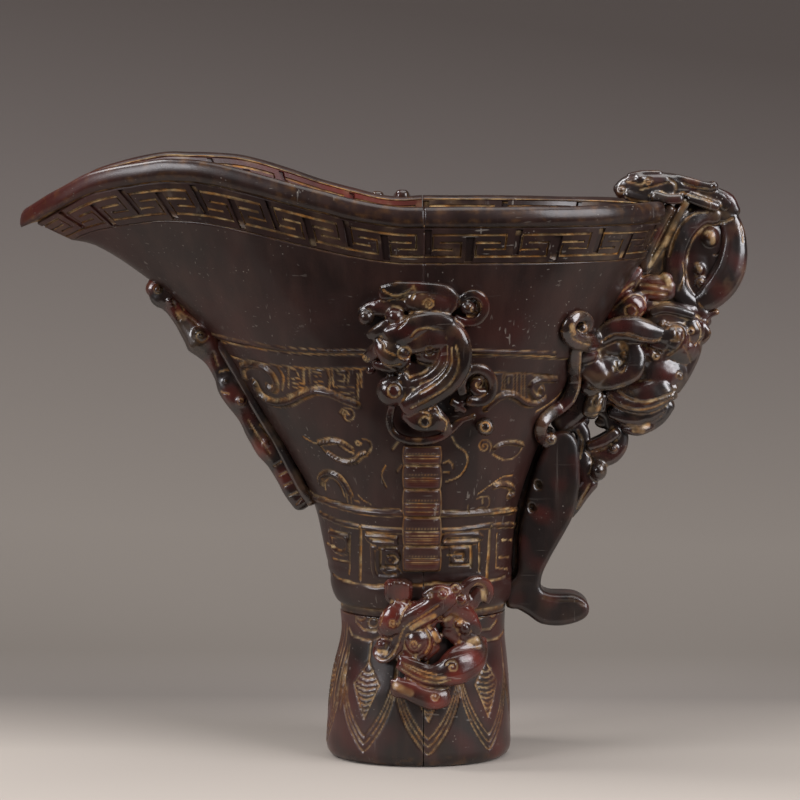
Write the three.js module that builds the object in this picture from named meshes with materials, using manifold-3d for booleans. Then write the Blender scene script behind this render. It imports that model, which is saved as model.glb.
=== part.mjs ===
// A libation cup pieced from carved horn: a spouted bowl in two halves on a flared
// foot, with climbing dragons on the flanks and a beast handle at the rear.
// X runs from the spout (negative) to the handle, Y across the cup, Z up.
// The origin is the middle of the underside, on the plane of the seam.
import * as THREE from 'three';
import { mergeVertices } from 'three/addons/utils/BufferGeometryUtils.js';
import Module from 'manifold-3d';

const wasm = await Module();
wasm.setup();

// Driving sizes of the cup, in millimetres
const footHeight = 46;
const bowlHeight = 127.5;
const spoutHeight = 14.5;
const spoutReach = 125;
const rearReach = 75;
const rimHalfWidth = 47.5;
const waistFrontReach = 25.5;
const waistRearReach = 25.5;
const waistHalfWidth = 21.5;
const footFrontReach = 30.3;
const footRearReach = 27.5;
const footHalfWidth = 24.5;

// Walls, edges and fits
const wallThickness = 6.5;
const lipHeight = 5.5;
const lipWidth = 3.4;
const floorThickness = 8;
const floorDishDepth = 2;
const footEdgeRadius = 4;
const collarThickness = 0.9;
const creaseDepth = 0.3;
const groundDepth = 0.5;
const fretDepth = 0.9;
const fretHeight = 10.5;
const fretMargin = 0.8;
const plateMargin = 8;
const plateThickness = 4;
const fit = 0.3;
const overrun = 40;

// Carvings on the flanks, the foot and the spout edge
const flankDragonReach = 24;
const footDragonReach = 30;
const ladderHalfWidth = 5.4;
const ladderThickness = 2.6;
const ladderDepth = 1.2;
const flangeThickness = 2.6;
const flangeHalfWidth = 4.6;
const frontDragonRadius = 2.7;
const frontDragonHeight = 3.4;

// Handle
const handleReach = 100;
const strapHalfDepth = 7;
const strapEdgeRadius = 1.5;
const pegHoleRadius = 1.2;

const rimLevel = footHeight + bowlHeight;
const cupHeight = rimLevel + spoutHeight;

// Profiles as [height share, reach share] from the waist to the rim
const frontProfileShares = [
  [0, 0], [0.11, 0.045], [0.25, 0.09], [0.36, 0.17], [0.48, 0.284], [0.6, 0.398],
  [0.73, 0.597], [0.83, 0.765], [0.88, 0.865], [0.96, 0.965], [1, 1],
];
const rearProfileShares = [
  [0, 0], [0.05, 0.04], [0.24, 0.085], [0.37, 0.19], [0.51, 0.35],
  [0.78, 0.73], [0.91, 0.945], [1, 1],
];
const widthProfileShares = [
  [0, 0], [0.1, 0.1], [0.25, 0.24], [0.5, 0.53], [0.75, 0.77], [0.9, 0.92], [1, 1],
];
// Rise of the rim towards the spout as [share of the reach, share of the rise]
const rimRiseShares = [
  [0, 0], [0.06, 0.02], [0.18, 0.16], [0.32, 0.32], [0.43, 0.55], [0.52, 0.78],
  [0.62, 1], [0.7, 0.93], [0.81, 0.68], [0.89, 0.3], [1, -0.23],
];
// Foot profile as [height share, spread share] from the waist down
const footProfileShares = [[0, 1], [0.12, 1], [0.5, 0.74], [0.8, 0.1], [0.9, 0], [1, 0.08]];
const plainRiseShares = [0.7, 0.79];
const innerRiseShares = [0.77, 0.64, 0.5, 0.35, 0.2];
const footRiseShares = [1, 0.88, 0.72, 0.55, 0.38, 0.22];
// Raised collar above the waist, and the lowered ground of the mask band above it
const collarRiseShares = [0.016, 0.049, 0.082];
const groundRiseShares = [0.24, 0.25, 0.33, 0.43, 0.53, 0.61, 0.62];
// How the plan goes from an oval at the waist to a pointed spout at the rim
const planPowerShares = { waist: 2, spout: 1.7, rear: 2.4 };
const planFallShares = { waist: 0.5, spout: 0.74, rear: 0.5 };
// Key fret below the lip
const fretTop = 1 - (lipHeight + fretMargin) / bowlHeight;
const fretBottom = fretTop - fretHeight / bowlHeight;
const innerFretTop = 1 - (lipHeight / 4 + fretMargin) / bowlHeight;
const marginRise = fretMargin / bowlHeight;
// Slots and grooves of one pair of keys as [from, to, bottom, top] in its stretch of the band
const slotShares = [[0.462, 0.552, 0, 0.74], [0.004, 0.072, 0.25, 1]];
const grooveShares = [[0.175, 0.412, 0.54, 0.64], [0.573, 0.845, 0.5, 0.6]];
const keyPairs = { front: 11, rear: 7 };
const fretSteps = 400;
const bowlColumns = 40;
const footColumns = 28;

const horn = { color: 0x36241f, roughness: 0.34 };
const redHorn = { color: 0x55241c, roughness: 0.3 };
const darkHorn = { color: 0x2a201d, roughness: 0.36 };

function smoothShare(table, at) {
  if (at <= table[0][0]) return table[0][1];
  const last = table.length - 1;
  if (at >= table[last][0]) return table[last][1];
  let i = 0;
  while (at > table[i + 1][0]) i += 1;
  const slope = (k) => {
    const before = table[Math.max(k - 1, 0)];
    const after = table[Math.min(k + 1, last)];
    return (after[1] - before[1]) / (after[0] - before[0]);
  };
  const width = table[i + 1][0] - table[i][0];
  const t = (at - table[i][0]) / width;
  const rise = t * t * (3 - 2 * t);
  const start = t * (1 - t) * (1 - t) * width * slope(i);
  const finish = t * t * (t - 1) * width * slope(i + 1);
  return table[i][1] * (1 - rise) + table[i + 1][1] * rise + start + finish;
}

function rimHeight(x) {
  return rimLevel + spoutHeight * smoothShare(rimRiseShares, Math.max(-x, 0) / spoutReach);
}

const mix = THREE.MathUtils.lerp;

// Plan of the cup at one level: reaches, half width and the curve's two powers
function bowlPlan(rise, front) {
  const waistReach = front ? waistFrontReach : waistRearReach;
  const topReach = front ? spoutReach : rearReach;
  const profile = front ? frontProfileShares : rearProfileShares;
  const end = front ? 'spout' : 'rear';
  return {
    reach: mix(waistReach, topReach, smoothShare(profile, rise)),
    halfWidth: mix(waistHalfWidth, rimHalfWidth, smoothShare(widthProfileShares, rise)),
    power: mix(planPowerShares.waist, planPowerShares[end], rise),
    fall: mix(planFallShares.waist, planFallShares[end], rise),
  };
}

function footPlan(rise, front) {
  const spread = smoothShare(footProfileShares, rise);
  const reach = front ? [waistFrontReach, footFrontReach] : [waistRearReach, footRearReach];
  return {
    reach: mix(reach[0], reach[1], spread),
    halfWidth: mix(waistHalfWidth, footHalfWidth, spread),
    power: planPowerShares.waist,
    fall: planFallShares.waist,
  };
}

// Point of a plan curve at a turn round the cup, drawn in by an inset
function planPoint(plan, turn, inset) {
  const along = Math.abs(Math.sin(turn)) ** (2 / plan.power);
  const across = Math.abs(Math.cos(turn)) ** (2 * plan.fall);
  const x = -Math.sign(Math.sin(turn)) * (plan.reach - inset) * along;
  const y = -Math.sign(Math.cos(turn)) * (plan.halfWidth - inset) * across;
  return new THREE.Vector2(x, y);
}

function bowlPoint(turn, row) {
  const plan = bowlPlan(row.rise, Math.sin(turn) > 0);
  const { x, y } = planPoint(plan, turn, row.inset);
  const z = footHeight + row.rise * (rimHeight(x) - footHeight) + row.lift;
  return new THREE.Vector3(x * row.spread, y * row.spread, z);
}

function footPoint(turn, row) {
  const plan = footPlan(row.rise, Math.sin(turn) > 0);
  const { x, y } = planPoint(plan, turn, row.inset);
  const z = footHeight * row.rise + row.lift;
  return new THREE.Vector3(x * row.spread, y * row.spread, z);
}

function signedVolume(geometry) {
  const spots = geometry.getAttribute('position');
  const order = geometry.getIndex();
  const [a, b, c] = [new THREE.Vector3(), new THREE.Vector3(), new THREE.Vector3()];
  let volume = 0;
  for (let i = 0; i < order.count; i += 3) {
    a.fromBufferAttribute(spots, order.getX(i));
    b.fromBufferAttribute(spots, order.getX(i + 1));
    c.fromBufferAttribute(spots, order.getX(i + 2));
    volume += a.dot(b.cross(c));
  }
  return volume;
}

// Merges shared vertices, drops collapsed triangles and turns the faces outwards
function toSolid(source) {
  const bare = source.clone();
  bare.deleteAttribute('normal');
  bare.deleteAttribute('uv');
  const merged = mergeVertices(bare);
  const kept = [];
  const order = merged.getIndex().array;
  for (let i = 0; i < order.length; i += 3) {
    const [a, b, c] = [order[i], order[i + 1], order[i + 2]];
    if (a !== b && b !== c && c !== a) kept.push(a, b, c);
  }
  merged.setIndex(kept);
  if (signedVolume(merged) < 0) merged.setIndex(kept.reverse());
  return new wasm.Manifold(new wasm.Mesh({
    numProp: 3,
    vertProperties: new Float32Array(merged.getAttribute('position').array),
    triVerts: new Uint32Array(merged.getIndex().array),
  }));
}

function toGeometry(solid) {
  const mesh = solid.getMesh();
  const geometry = new THREE.BufferGeometry();
  geometry.setAttribute('position', new THREE.BufferAttribute(mesh.vertProperties, mesh.numProp));
  geometry.setIndex(new THREE.BufferAttribute(mesh.triVerts, 1));
  geometry.computeVertexNormals();
  return geometry;
}

// The largest piece that a cut leaves
function largestPiece(solid) {
  const pieces = solid.decompose();
  return pieces.reduce((best, piece) => (piece.volume() > best.volume() ? piece : best));
}

function united(solids) {
  return solids.reduce((all, solid) => all.add(solid));
}

function cutBy(solid, cutters) {
  return cutters.reduce((rest, cutter) => rest.subtract(cutter), solid);
}

// A skin of rows round the cup; closed rows make a ring, open rows end on the axis
function ringSolid(rows, columns, pointAt, closed) {
  const spots = [];
  for (let column = 0; column < columns; column += 1) {
    const turn = (2 * Math.PI * column) / columns;
    for (const row of rows) spots.push(...pointAt(turn, row).toArray());
  }
  const order = [];
  const count = rows.length;
  const spans = closed ? count : count - 1;
  for (let column = 0; column < columns; column += 1) {
    const here = column * count;
    const next = ((column + 1) % columns) * count;
    for (let row = 0; row < spans; row += 1) {
      const above = (row + 1) % count;
      order.push(here + row, next + row, next + above);
      order.push(here + row, next + above, here + above);
    }
  }
  const geometry = new THREE.BufferGeometry();
  geometry.setAttribute('position', new THREE.Float32BufferAttribute(spots, 3));
  geometry.setIndex(order);
  return toSolid(geometry);
}

// Steps of the bowl's outside as [rise, how far the surface is drawn in]
function outsideSteps() {
  const [crease, middle, top] = collarRiseShares;
  const steps = [[0, 0], [crease, creaseDepth], [middle, -collarThickness], [top, 0]];
  const last = groundRiseShares.length - 1;
  groundRiseShares.forEach((rise, index) => {
    steps.push([rise, index === 0 || index === last ? 0 : groundDepth]);
  });
  const plain = [...plainRiseShares, fretBottom - marginRise / 2, fretTop + marginRise / 2];
  return [...steps, ...plain.map((rise) => [rise, 0])];
}

// The outside of the bowl from the waist up to the lip
function outerRows(grow) {
  const rows = outsideSteps().map(([rise, drawn]) => ({ rise, inset: drawn - grow, lift: 0, spread: 1 }));
  rows[0].lift = -grow;
  rows.push({ rise: 1, inset: -grow, lift: -lipHeight, spread: 1 });
  rows.push({ rise: 1, inset: lipWidth / 8 - grow, lift: grow / 2 - lipHeight / 5, spread: 1 });
  rows.push({ rise: 1, inset: lipWidth / 2, lift: grow, spread: 1 });
  return rows;
}

// The bowl wall: up the outside, over the rolled lip and down the inside
function bowlWall(grow) {
  const inset = wallThickness + grow;
  const rows = outerRows(grow);
  const inner = wallThickness - lipWidth / 3;
  rows.push({ rise: 1, inset: inner, lift: grow - lipHeight / 16, spread: 1 });
  rows.push({ rise: 1, inset, lift: -lipHeight / 4, spread: 1 });
  const belowFret = innerFretTop - (fretHeight + fretMargin) / bowlHeight;
  const innerRises = [belowFret, ...innerRiseShares, floorThickness / bowlHeight, 0];
  for (const rise of innerRises) {
    rows.push({ rise, inset, lift: 0, spread: 1 });
  }
  rows[rows.length - 1].lift = -grow;
  return ringSolid(rows, bowlColumns, bowlPoint, true);
}

// The bowl with its hollow filled, which cuts what stands on its outside
function bowlBlock(grow) {
  const rows = outerRows(grow);
  rows.unshift({ ...rows[0], spread: 0 });
  rows.push({ ...rows[rows.length - 1], spread: 0 });
  return ringSolid(rows, bowlColumns, bowlPoint, false);
}

// A block in the wall between two turns, two rises and two insets
function wallBlock(turns, rises, insets) {
  const block = new THREE.BoxGeometry(1, 1, 1);
  const spots = block.getAttribute('position');
  for (let i = 0; i < spots.count; i += 1) {
    const turn = spots.getX(i) < 0 ? turns[0] : turns[1];
    const rise = spots.getY(i) < 0 ? rises[0] : rises[1];
    const inset = spots.getZ(i) < 0 ? insets[0] : insets[1];
    const spot = bowlPoint(turn, { rise, inset, lift: 0, spread: 1 });
    spots.setXYZ(i, spot.x, spot.y, spot.z);
  }
  return toSolid(block);
}

// Turns that stand at the given shares of the way along one half of the band
function evenTurns(front, rise, inset, shares) {
  const span = front ? Math.PI : -Math.PI;
  const spotAt = (step) => bowlPoint((span * step) / fretSteps, { rise, inset, lift: 0, spread: 1 });
  const lengths = [0];
  for (let step = 1; step <= fretSteps; step += 1) {
    lengths.push(lengths[step - 1] + spotAt(step).distanceTo(spotAt(step - 1)));
  }
  return shares.map((share) => {
    const goal = share * lengths[fretSteps];
    const above = Math.max(lengths.findIndex((length) => length >= goal), 1);
    const part = (goal - lengths[above - 1]) / (lengths[above] - lengths[above - 1]);
    return (span * (above - 1 + part)) / fretSteps;
  });
}

// What the key fret takes out of one half's wall, outside or inside
function fretCuts(front, inside) {
  const high = inside ? innerFretTop : fretTop;
  const face = inside ? wallThickness : 0;
  const insets = [face - fretDepth, face + fretDepth];
  const count = front ? keyPairs.front : keyPairs.rear;
  const shapes = inside ? slotShares : [...slotShares, ...grooveShares];
  const backwards = front !== inside;
  const cuts = [];
  for (let pair = 0; pair < count; pair += 1) {
    for (const [from, to, bottom, top] of shapes) {
      const shares = [from, to].map((part) => (pair + part) / count);
      const along = backwards ? shares.map((share) => 1 - share) : shares;
      const turns = evenTurns(front, fretBottom, face, along);
      const rises = [bottom, top].map((part) => high - (1 - part) * fretHeight / bowlHeight);
      cuts.push(wallBlock(turns, rises, insets));
    }
  }
  return united(cuts);
}

function floorSolid() {
  const inset = wallThickness + fit;
  const rise = floorThickness / bowlHeight;
  const rows = [
    { rise: 0, inset, lift: 0, spread: 0 },
    { rise: 0, inset, lift: 0, spread: 1 },
    { rise, inset, lift: 0, spread: 1 },
    { rise, inset, lift: -floorDishDepth * 0.75, spread: 0.5 },
    { rise, inset, lift: -floorDishDepth, spread: 0 },
  ];
  return ringSolid(rows, bowlColumns, bowlPoint, false);
}

// The foot: solid, with a shallow recess below for its plate
function footSolid(grow) {
  const recess = plateThickness + fit;
  const rows = [
    { rise: 1, inset: 0, lift: grow - fit, spread: 0 },
    { rise: 1, inset: -grow, lift: grow - fit, spread: 1 },
  ];
  for (const rise of footRiseShares.slice(1)) rows.push({ rise, inset: -grow, lift: 0, spread: 1 });
  rows.push({ rise: 0, inset: -grow, lift: footEdgeRadius, spread: 1 });
  rows.push({ rise: 0, inset: footEdgeRadius * 0.3 - grow, lift: footEdgeRadius * 0.3, spread: 1 });
  rows.push({ rise: 0, inset: footEdgeRadius, lift: -grow, spread: 1 });
  rows.push({ rise: 0, inset: plateMargin - fit, lift: -grow, spread: 1 });
  rows.push({ rise: 0, inset: plateMargin - fit, lift: recess, spread: 1 });
  rows.push({ rise: 0, inset: plateMargin - fit, lift: recess, spread: 0 });
  return ringSolid(rows, footColumns, footPoint, false);
}

function plateSolid() {
  const rows = [
    { rise: 0, inset: plateMargin, lift: plateThickness, spread: 0 },
    { rise: 0, inset: plateMargin, lift: plateThickness, spread: 1 },
    { rise: 0, inset: plateMargin, lift: 0, spread: 1 },
    { rise: 0, inset: plateMargin, lift: 0, spread: 0 },
  ];
  return ringSolid(rows, footColumns, footPoint, false);
}

// Everything on one side of the seam, less half the fit
function seamCutter(side) {
  const length = spoutReach + rearReach + overrun;
  const box = new THREE.BoxGeometry(length, 2 * rimHalfWidth + overrun, cupHeight + overrun);
  box.translate(side * (length / 2 - fit / 2), 0, cupHeight / 2);
  return toSolid(box);
}

// Half width of the cup's outer surface at a place on its side elevation
function flankDepth(x, z) {
  const front = x < 0;
  const rise = (z - footHeight) / (rimHeight(x) - footHeight);
  const plan = rise > 0 ? bowlPlan(Math.min(rise, 1), front) : footPlan(z / footHeight, front);
  const along = Math.min(Math.abs(x) / plan.reach, 1);
  return plan.halfWidth * (1 - along ** plan.power) ** plan.fall;
}

// How far the surface is drawn in on the ground of the mask band
function groundDrop(x, z) {
  const rise = (z - footHeight) / (rimHeight(x) - footHeight);
  const onGround = rise > groundRiseShares[0] && rise < groundRiseShares[groundRiseShares.length - 1];
  return onGround ? groundDepth : 0;
}

// A spot of a carving that stands off the flank, with the way it faces
function flankSpot(x, z, lift, girth, side) {
  const depth = flankDepth(x, z);
  const slopeX = (flankDepth(x + fit, z) - depth) / fit;
  const slopeZ = (flankDepth(x, z + fit) - depth) / fit;
  const out = new THREE.Vector3(-slopeX, side, -slopeZ).normalize();
  const seat = side * (depth - groundDrop(x, z));
  const spot = new THREE.Vector3(x, seat, z).addScaledVector(out, lift);
  return { spot, out, girth };
}

const limbDepthShares = { round: 1, flank: 0.85, flat: 0.8, handle: 1.3, head: 2.2 };
const limbSides = 6;
const limbStepsPerSpan = 1.3;

// A carved limb: an oval section that swells and tapers along a smooth curve
function limbSolid(places, depthShare, grow) {
  const curve = new THREE.CatmullRomCurve3(places.map((place) => place.spot));
  const steps = Math.ceil((places.length - 1) * limbStepsPerSpan);
  const spots = [];
  const order = [];
  const pushEnd = (centre, tangent, girth) => {
    spots.push(...centre.clone().addScaledVector(tangent, girth * 0.7).toArray());
  };
  for (let step = 0; step <= steps; step += 1) {
    const along = step / steps;
    const at = along * (places.length - 1);
    const from = Math.min(Math.floor(at), places.length - 2);
    const part = at - from;
    const girth = mix(places[from].girth, places[from + 1].girth, part) + grow;
    const centre = curve.getPoint(along);
    const tangent = curve.getTangent(along);
    const out = places[from].out.clone().lerp(places[from + 1].out, part);
    out.addScaledVector(tangent, -out.dot(tangent)).normalize();
    const across = new THREE.Vector3().crossVectors(tangent, out);
    if (step === 0) pushEnd(centre, tangent, -girth);
    for (let side = 0; side < limbSides; side += 1) {
      const turn = (2 * Math.PI * side) / limbSides;
      const spot = centre.clone().addScaledVector(across, girth * Math.cos(turn));
      spot.addScaledVector(out, girth * depthShare * Math.sin(turn));
      spots.push(...spot.toArray());
    }
    if (step === steps) pushEnd(centre, tangent, girth);
  }
  const last = 1 + (steps + 1) * limbSides;
  for (let side = 0; side < limbSides; side += 1) {
    const next = (side + 1) % limbSides;
    order.push(0, 1 + next, 1 + side);
    order.push(last, last - limbSides + side, last - limbSides + next);
    for (let step = 0; step < steps; step += 1) {
      const here = 1 + step * limbSides;
      const above = here + limbSides;
      order.push(here + side, here + next, above + next);
      order.push(here + side, above + next, above + side);
    }
  }
  const geometry = new THREE.BufferGeometry();
  geometry.setAttribute('position', new THREE.Float32BufferAttribute(spots, 3));
  geometry.setIndex(order);
  return toSolid(geometry);
}

function figure(limbs, depthShare, grow) {
  return united(limbs.map((limb) => limbSolid(limb, depthShare, grow)));
}

// Flank dragon limbs as [across, rise up the bowl, lift off the wall, girth]
const flankDragonShares = [
  [[-0.66, 0.79, 0.16, 0.17], [-0.3, 0.785, 0.2, 0.2], [0.1, 0.785, 0.22, 0.21],
    [0.48, 0.79, 0.2, 0.19], [0.66, 0.765, 0.16, 0.18]],
  [[-0.3, 0.77, 0.2, 0.17], [-0.42, 0.735, 0.24, 0.2], [-0.46, 0.7, 0.26, 0.23],
    [-0.48, 0.665, 0.24, 0.22], [-0.61, 0.63, 0.18, 0.14]],
  [[0.36, 0.78, 0.18, 0.15], [0.44, 0.735, 0.22, 0.15], [0.52, 0.667, 0.24, 0.15],
    [0.36, 0.598, 0.24, 0.15], [0, 0.545, 0.22, 0.15], [-0.38, 0.515, 0.18, 0.14],
    [-0.52, 0.482, 0.14, 0.13], [-0.34, 0.453, 0.14, 0.13], [0, 0.446, 0.14, 0.13],
    [0.3, 0.466, 0.14, 0.12]],
  [[0.1, 0.77, 0.2, 0.18], [0.14, 0.712, 0.24, 0.24], [0.18, 0.65, 0.24, 0.25],
    [0.02, 0.593, 0.24, 0.22], [-0.22, 0.548, 0.22, 0.15]],
  [[-0.46, 0.68, 0.2, 0.14], [-0.2, 0.66, 0.18, 0.15], [0.1, 0.66, 0.2, 0.15]],
  [[0.4, 0.63, 0.18, 0.14], [0.62, 0.6, 0.18, 0.2], [0.72, 0.565, 0.16, 0.2],
    [0.78, 0.52, 0.14, 0.13], [0.75, 0.484, 0.14, 0.13]],
  [[-0.24, 0.6, 0.16, 0.13], [-0.4, 0.572, 0.18, 0.19], [-0.4, 0.53, 0.16, 0.14]],
  [[-0.1, 0.53, 0.16, 0.15], [0.02, 0.49, 0.2, 0.17], [0.02, 0.45, 0.16, 0.14]],
];

// Forepart of the far dragon as [across, out from the middle, rise, girth]
const climbingFacingShares = { out: 0.9, rise: 0.94 };
const climbingShares = [
  [[-0.1, 0.93, 0.8, 0.18], [-0.16, 1, 0.87, 0.19], [-0.22, 1.06, 0.935, 0.18],
    [-0.27, 1.03, 0.985, 0.14], [-0.27, 0.94, 1, 0.1]],
  [[-0.3, 1.05, 0.9, 0.12], [-0.5, 1.06, 0.95, 0.12], [-0.6, 1.02, 0.985, 0.11],
    [-0.6, 0.94, 0.998, 0.09]],
  [[-0.1, 1.05, 0.9, 0.12], [0.08, 1.06, 0.94, 0.12], [0.14, 1.04, 0.965, 0.11],
    [0.14, 1, 0.96, 0.1]],
];

// Foot dragon limbs as [across, height up the foot, lift off the wall, girth]
const footDragonShares = [
  [[0, 1.13, 0.1, 0.1], [0.2, 1.17, 0.12, 0.11], [0.4, 1.165, 0.12, 0.11],
    [0.56, 1.17, 0.1, 0.1]],
  [[0.1, 1.15, 0.12, 0.09], [0, 1.04, 0.12, 0.09], [-0.18, 0.95, 0.12, 0.09],
    [-0.25, 0.85, 0.12, 0.09], [-0.32, 0.74, 0.11, 0.085], [-0.26, 0.645, 0.1, 0.085],
    [-0.03, 0.58, 0.1, 0.085], [0.24, 0.555, 0.1, 0.085], [0.42, 0.61, 0.11, 0.1],
    [0.55, 0.71, 0.11, 0.1], [0.5, 0.84, 0.11, 0.09], [0.29, 0.86, 0.1, 0.08],
    [0.06, 0.95, 0.1, 0.08]],
  [[-0.06, 1.12, 0.1, 0.08], [-0.26, 1.18, 0.1, 0.08], [-0.3, 1.07, 0.1, 0.085],
    [-0.36, 0.94, 0.1, 0.085], [-0.43, 0.84, 0.09, 0.08]],
  [[-0.3, 0.83, 0.1, 0.08], [-0.11, 0.83, 0.12, 0.11], [0.05, 0.76, 0.1, 0.08],
    [0.2, 0.66, 0.1, 0.07], [0.22, 0.58, 0.1, 0.07]],
  [[-0.03, 0.58, 0.1, 0.08], [-0.2, 0.53, 0.1, 0.08], [-0.3, 0.51, 0.09, 0.06]],
];

// Ladder steps as the rise of each edge, and how far its sides bow out
const ladderEdgeShares = [0.07, 0.135, 0.2, 0.262, 0.33, 0.42];
const ladderBowShares = [0.9, 1, 0.9];

// Front edge dragon as [share along the flange, lift, girth, side step]
const frontDragonShares = [
  [1.16, 1.1, 1.15, 0], [1.09, 1.2, 1.5, 0], [1.03, 1, 1.1, 0.2], [0.96, 0.8, 1.7, 0],
  [0.86, 0.75, 1, -0.2], [0.72, 0.7, 0.9, 0], [0.56, 0.75, 1.1, 0.2], [0.42, 0.7, 0.9, 0],
  [0.26, 0.7, 1.2, -0.2], [0.12, 0.7, 1, 0], [0.03, 0.6, 0.8, 0],
];
const flangeRiseShares = { bottom: 0.26, top: 0.61 };
const flangeSteps = 10;

// Where the bowl's rear edge and the top of the foot lie in the handle's tables
const handleEdgeShares = { waist: 0.255, rim: 0.75 };
const handleFootShare = 0.2447;

// Handle limbs as [along, up, side, girth], seen from the near side
const sideLimbShares = [[
  [0.53, 0.722, 0.2, 0.02], [0.488, 0.736, 0.22, 0.024], [0.452, 0.722, 0.235, 0.026],
  [0.455, 0.692, 0.22, 0.027], [0.477, 0.665, 0.19, 0.028], [0.478, 0.637, 0.17, 0.028],
  [0.46, 0.607, 0.15, 0.028], [0.42, 0.586, 0.145, 0.027], [0.385, 0.566, 0.15, 0.027],
  [0.382, 0.54, 0.14, 0.026], [0.413, 0.53, 0.12, 0.022],
]];
const browLimbShares = [
  [[0.51, 0.715, 0, 0.022], [0.569, 0.752, 0, 0.034], [0.631, 0.776, 0, 0.036],
    [0.694, 0.79, 0, 0.03], [0.735, 0.778, 0, 0.024]],
  [[0.56, 0.712, 0, 0.022], [0.647, 0.736, 0, 0.032], [0.709, 0.757, 0, 0.03]],
];
const headShares = [
  [[0.56, 0.7, 0, 0.026], [0.6, 0.706, 0, 0.028],
    [0.647, 0.706, 0, 0.034], [0.709, 0.71, 0, 0.046], [0.772, 0.714, 0, 0.05],
    [0.834, 0.704, 0, 0.042], [0.872, 0.7, 0, 0.03]],
  [[0.866, 0.699, 0, 0.034], [0.845, 0.668, 0, 0.044], [0.805, 0.634, 0, 0.048],
    [0.741, 0.61, 0, 0.048], [0.663, 0.604, 0, 0.042], [0.6, 0.606, 0, 0.03]],
  [[0.756, 0.68, 0, 0.032], [0.809, 0.68, 0, 0.036], [0.85, 0.69, 0, 0.03]],
  [[0.6, 0.585, 0, 0.022], [0.65, 0.572, 0, 0.034], [0.73, 0.57, 0, 0.036],
    [0.785, 0.588, 0, 0.026]],
];
const wingShares = [
  [[0.49, 0.68, 0.17, 0.024], [0.53, 0.667, 0.14, 0.03], [0.56, 0.642, 0.12, 0.034],
    [0.609, 0.63, 0.11, 0.034], [0.655, 0.645, 0.11, 0.028], [0.65, 0.668, 0.11, 0.022]],
  [[0.505, 0.66, 0.15, 0.026], [0.5, 0.62, 0.12, 0.034], [0.525, 0.592, 0.08, 0.034],
    [0.55, 0.572, 0.04, 0.022]],
  [[0.47, 0.688, 0.19, 0.02], [0.528, 0.69, 0.16, 0.022], [0.59, 0.706, 0.13, 0.026],
    [0.66, 0.706, 0.11, 0.026], [0.72, 0.695, 0.1, 0.02]],
];
const knotShares = [
  [[0.403, 0.549, 0, 0.02], [0.428, 0.572, 0, 0.025], [0.466, 0.568, 0, 0.028],
    [0.5, 0.54, 0, 0.03], [0.52, 0.5, 0, 0.032], [0.534, 0.458, 0, 0.028],
    [0.516, 0.428, 0, 0.018], [0.497, 0.411, 0, 0.01]],
  [[0.5, 0.585, 0, 0.02], [0.494, 0.553, 0, 0.022], [0.528, 0.522, 0, 0.028],
    [0.578, 0.525, 0, 0.028], [0.616, 0.545, 0, 0.028], [0.628, 0.572, 0, 0.022]],
  [[0.57, 0.53, 0, 0.03], [0.558, 0.5, 0, 0.04], [0.548, 0.47, 0, 0.036]],
];
const loopShares = [
  [[0.91, 0.905, 0, 0.022], [0.95, 0.905, 0, 0.028], [0.966, 0.865, 0, 0.028],
    [0.955, 0.82, 0, 0.03], [0.925, 0.774, 0, 0.03], [0.875, 0.742, 0, 0.026]],
];
const innerLimbShares = [
  [[0.92, 0.9, 0, 0.02], [0.866, 0.893, 0, 0.024], [0.822, 0.887, 0, 0.025],
    [0.791, 0.857, 0, 0.025], [0.772, 0.82, 0, 0.025], [0.757, 0.782, 0, 0.026],
    [0.78, 0.75, 0, 0.026]],
  [[0.9, 0.895, 0, 0.018], [0.903, 0.87, 0, 0.026], [0.882, 0.845, 0, 0.022]],
  [[0.76, 0.78, 0, 0.02], [0.82, 0.79, 0, 0.02], [0.862, 0.796, 0, 0.026],
    [0.872, 0.775, 0, 0.018]],
];
const rimDragonShares = [
  [[0.615, 0.943, 0, 0.024], [0.653, 0.948, 0, 0.036], [0.709, 0.952, 0, 0.038],
    [0.778, 0.95, 0, 0.036], [0.85, 0.948, 0, 0.036], [0.913, 0.94, 0, 0.034],
    [0.955, 0.93, 0, 0.026]],
  [[0.72, 0.945, 0, 0.03], [0.74, 0.935, -0.06, 0.026], [0.7, 0.925, -0.1, 0.02]],
  [[0.72, 0.945, 0, 0.03], [0.74, 0.935, 0.06, 0.026], [0.7, 0.925, 0.1, 0.02]],
];
const strapOutlineShares = [
  [0.4, 0.545], [0.444, 0.556], [0.474, 0.54], [0.486, 0.5], [0.488, 0.455], [0.466, 0.4],
  [0.421, 0.353], [0.384, 0.312], [0.378, 0.284], [0.402, 0.274], [0.477, 0.271],
  [0.513, 0.258], [0.513, 0.24], [0.485, 0.226], [0.427, 0.219], [0.369, 0.226],
  [0.322, 0.247], [0.25, 0.245], [0.25, 0.279], [0.309, 0.279], [0.316, 0.3],
  [0.298, 0.35], [0.318, 0.425], [0.35, 0.495],
];
const pegHoleShares = [[0.356, 0.445], [0.338, 0.413]];

function flankDragon(side, grow) {
  const limbs = flankDragonShares.map((limb) => limb.map(([across, rise, lift, girth]) => (
    flankSpot(across * flankDragonReach, footHeight + rise * bowlHeight,
      lift * flankDragonReach, girth * flankDragonReach, side))));
  const parts = [figure(limbs, limbDepthShares.flank, grow)];
  if (side > 0) parts.push(figure(climbingLimbs(side), limbDepthShares.flat, grow));
  return united(parts);
}

function climbingLimbs(side) {
  return climbingShares.map((limb) => limb.map(([across, spread, rise, girth]) => {
    const spot = new THREE.Vector3(across * flankDragonReach, side * spread * rimHalfWidth,
      footHeight + rise * bowlHeight);
    const { out: middle, rise: level } = climbingFacingShares;
    const out = new THREE.Vector3(0, side * (spread - middle), rise - level).normalize();
    return { spot, out, girth: girth * flankDragonReach };
  }));
}

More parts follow.
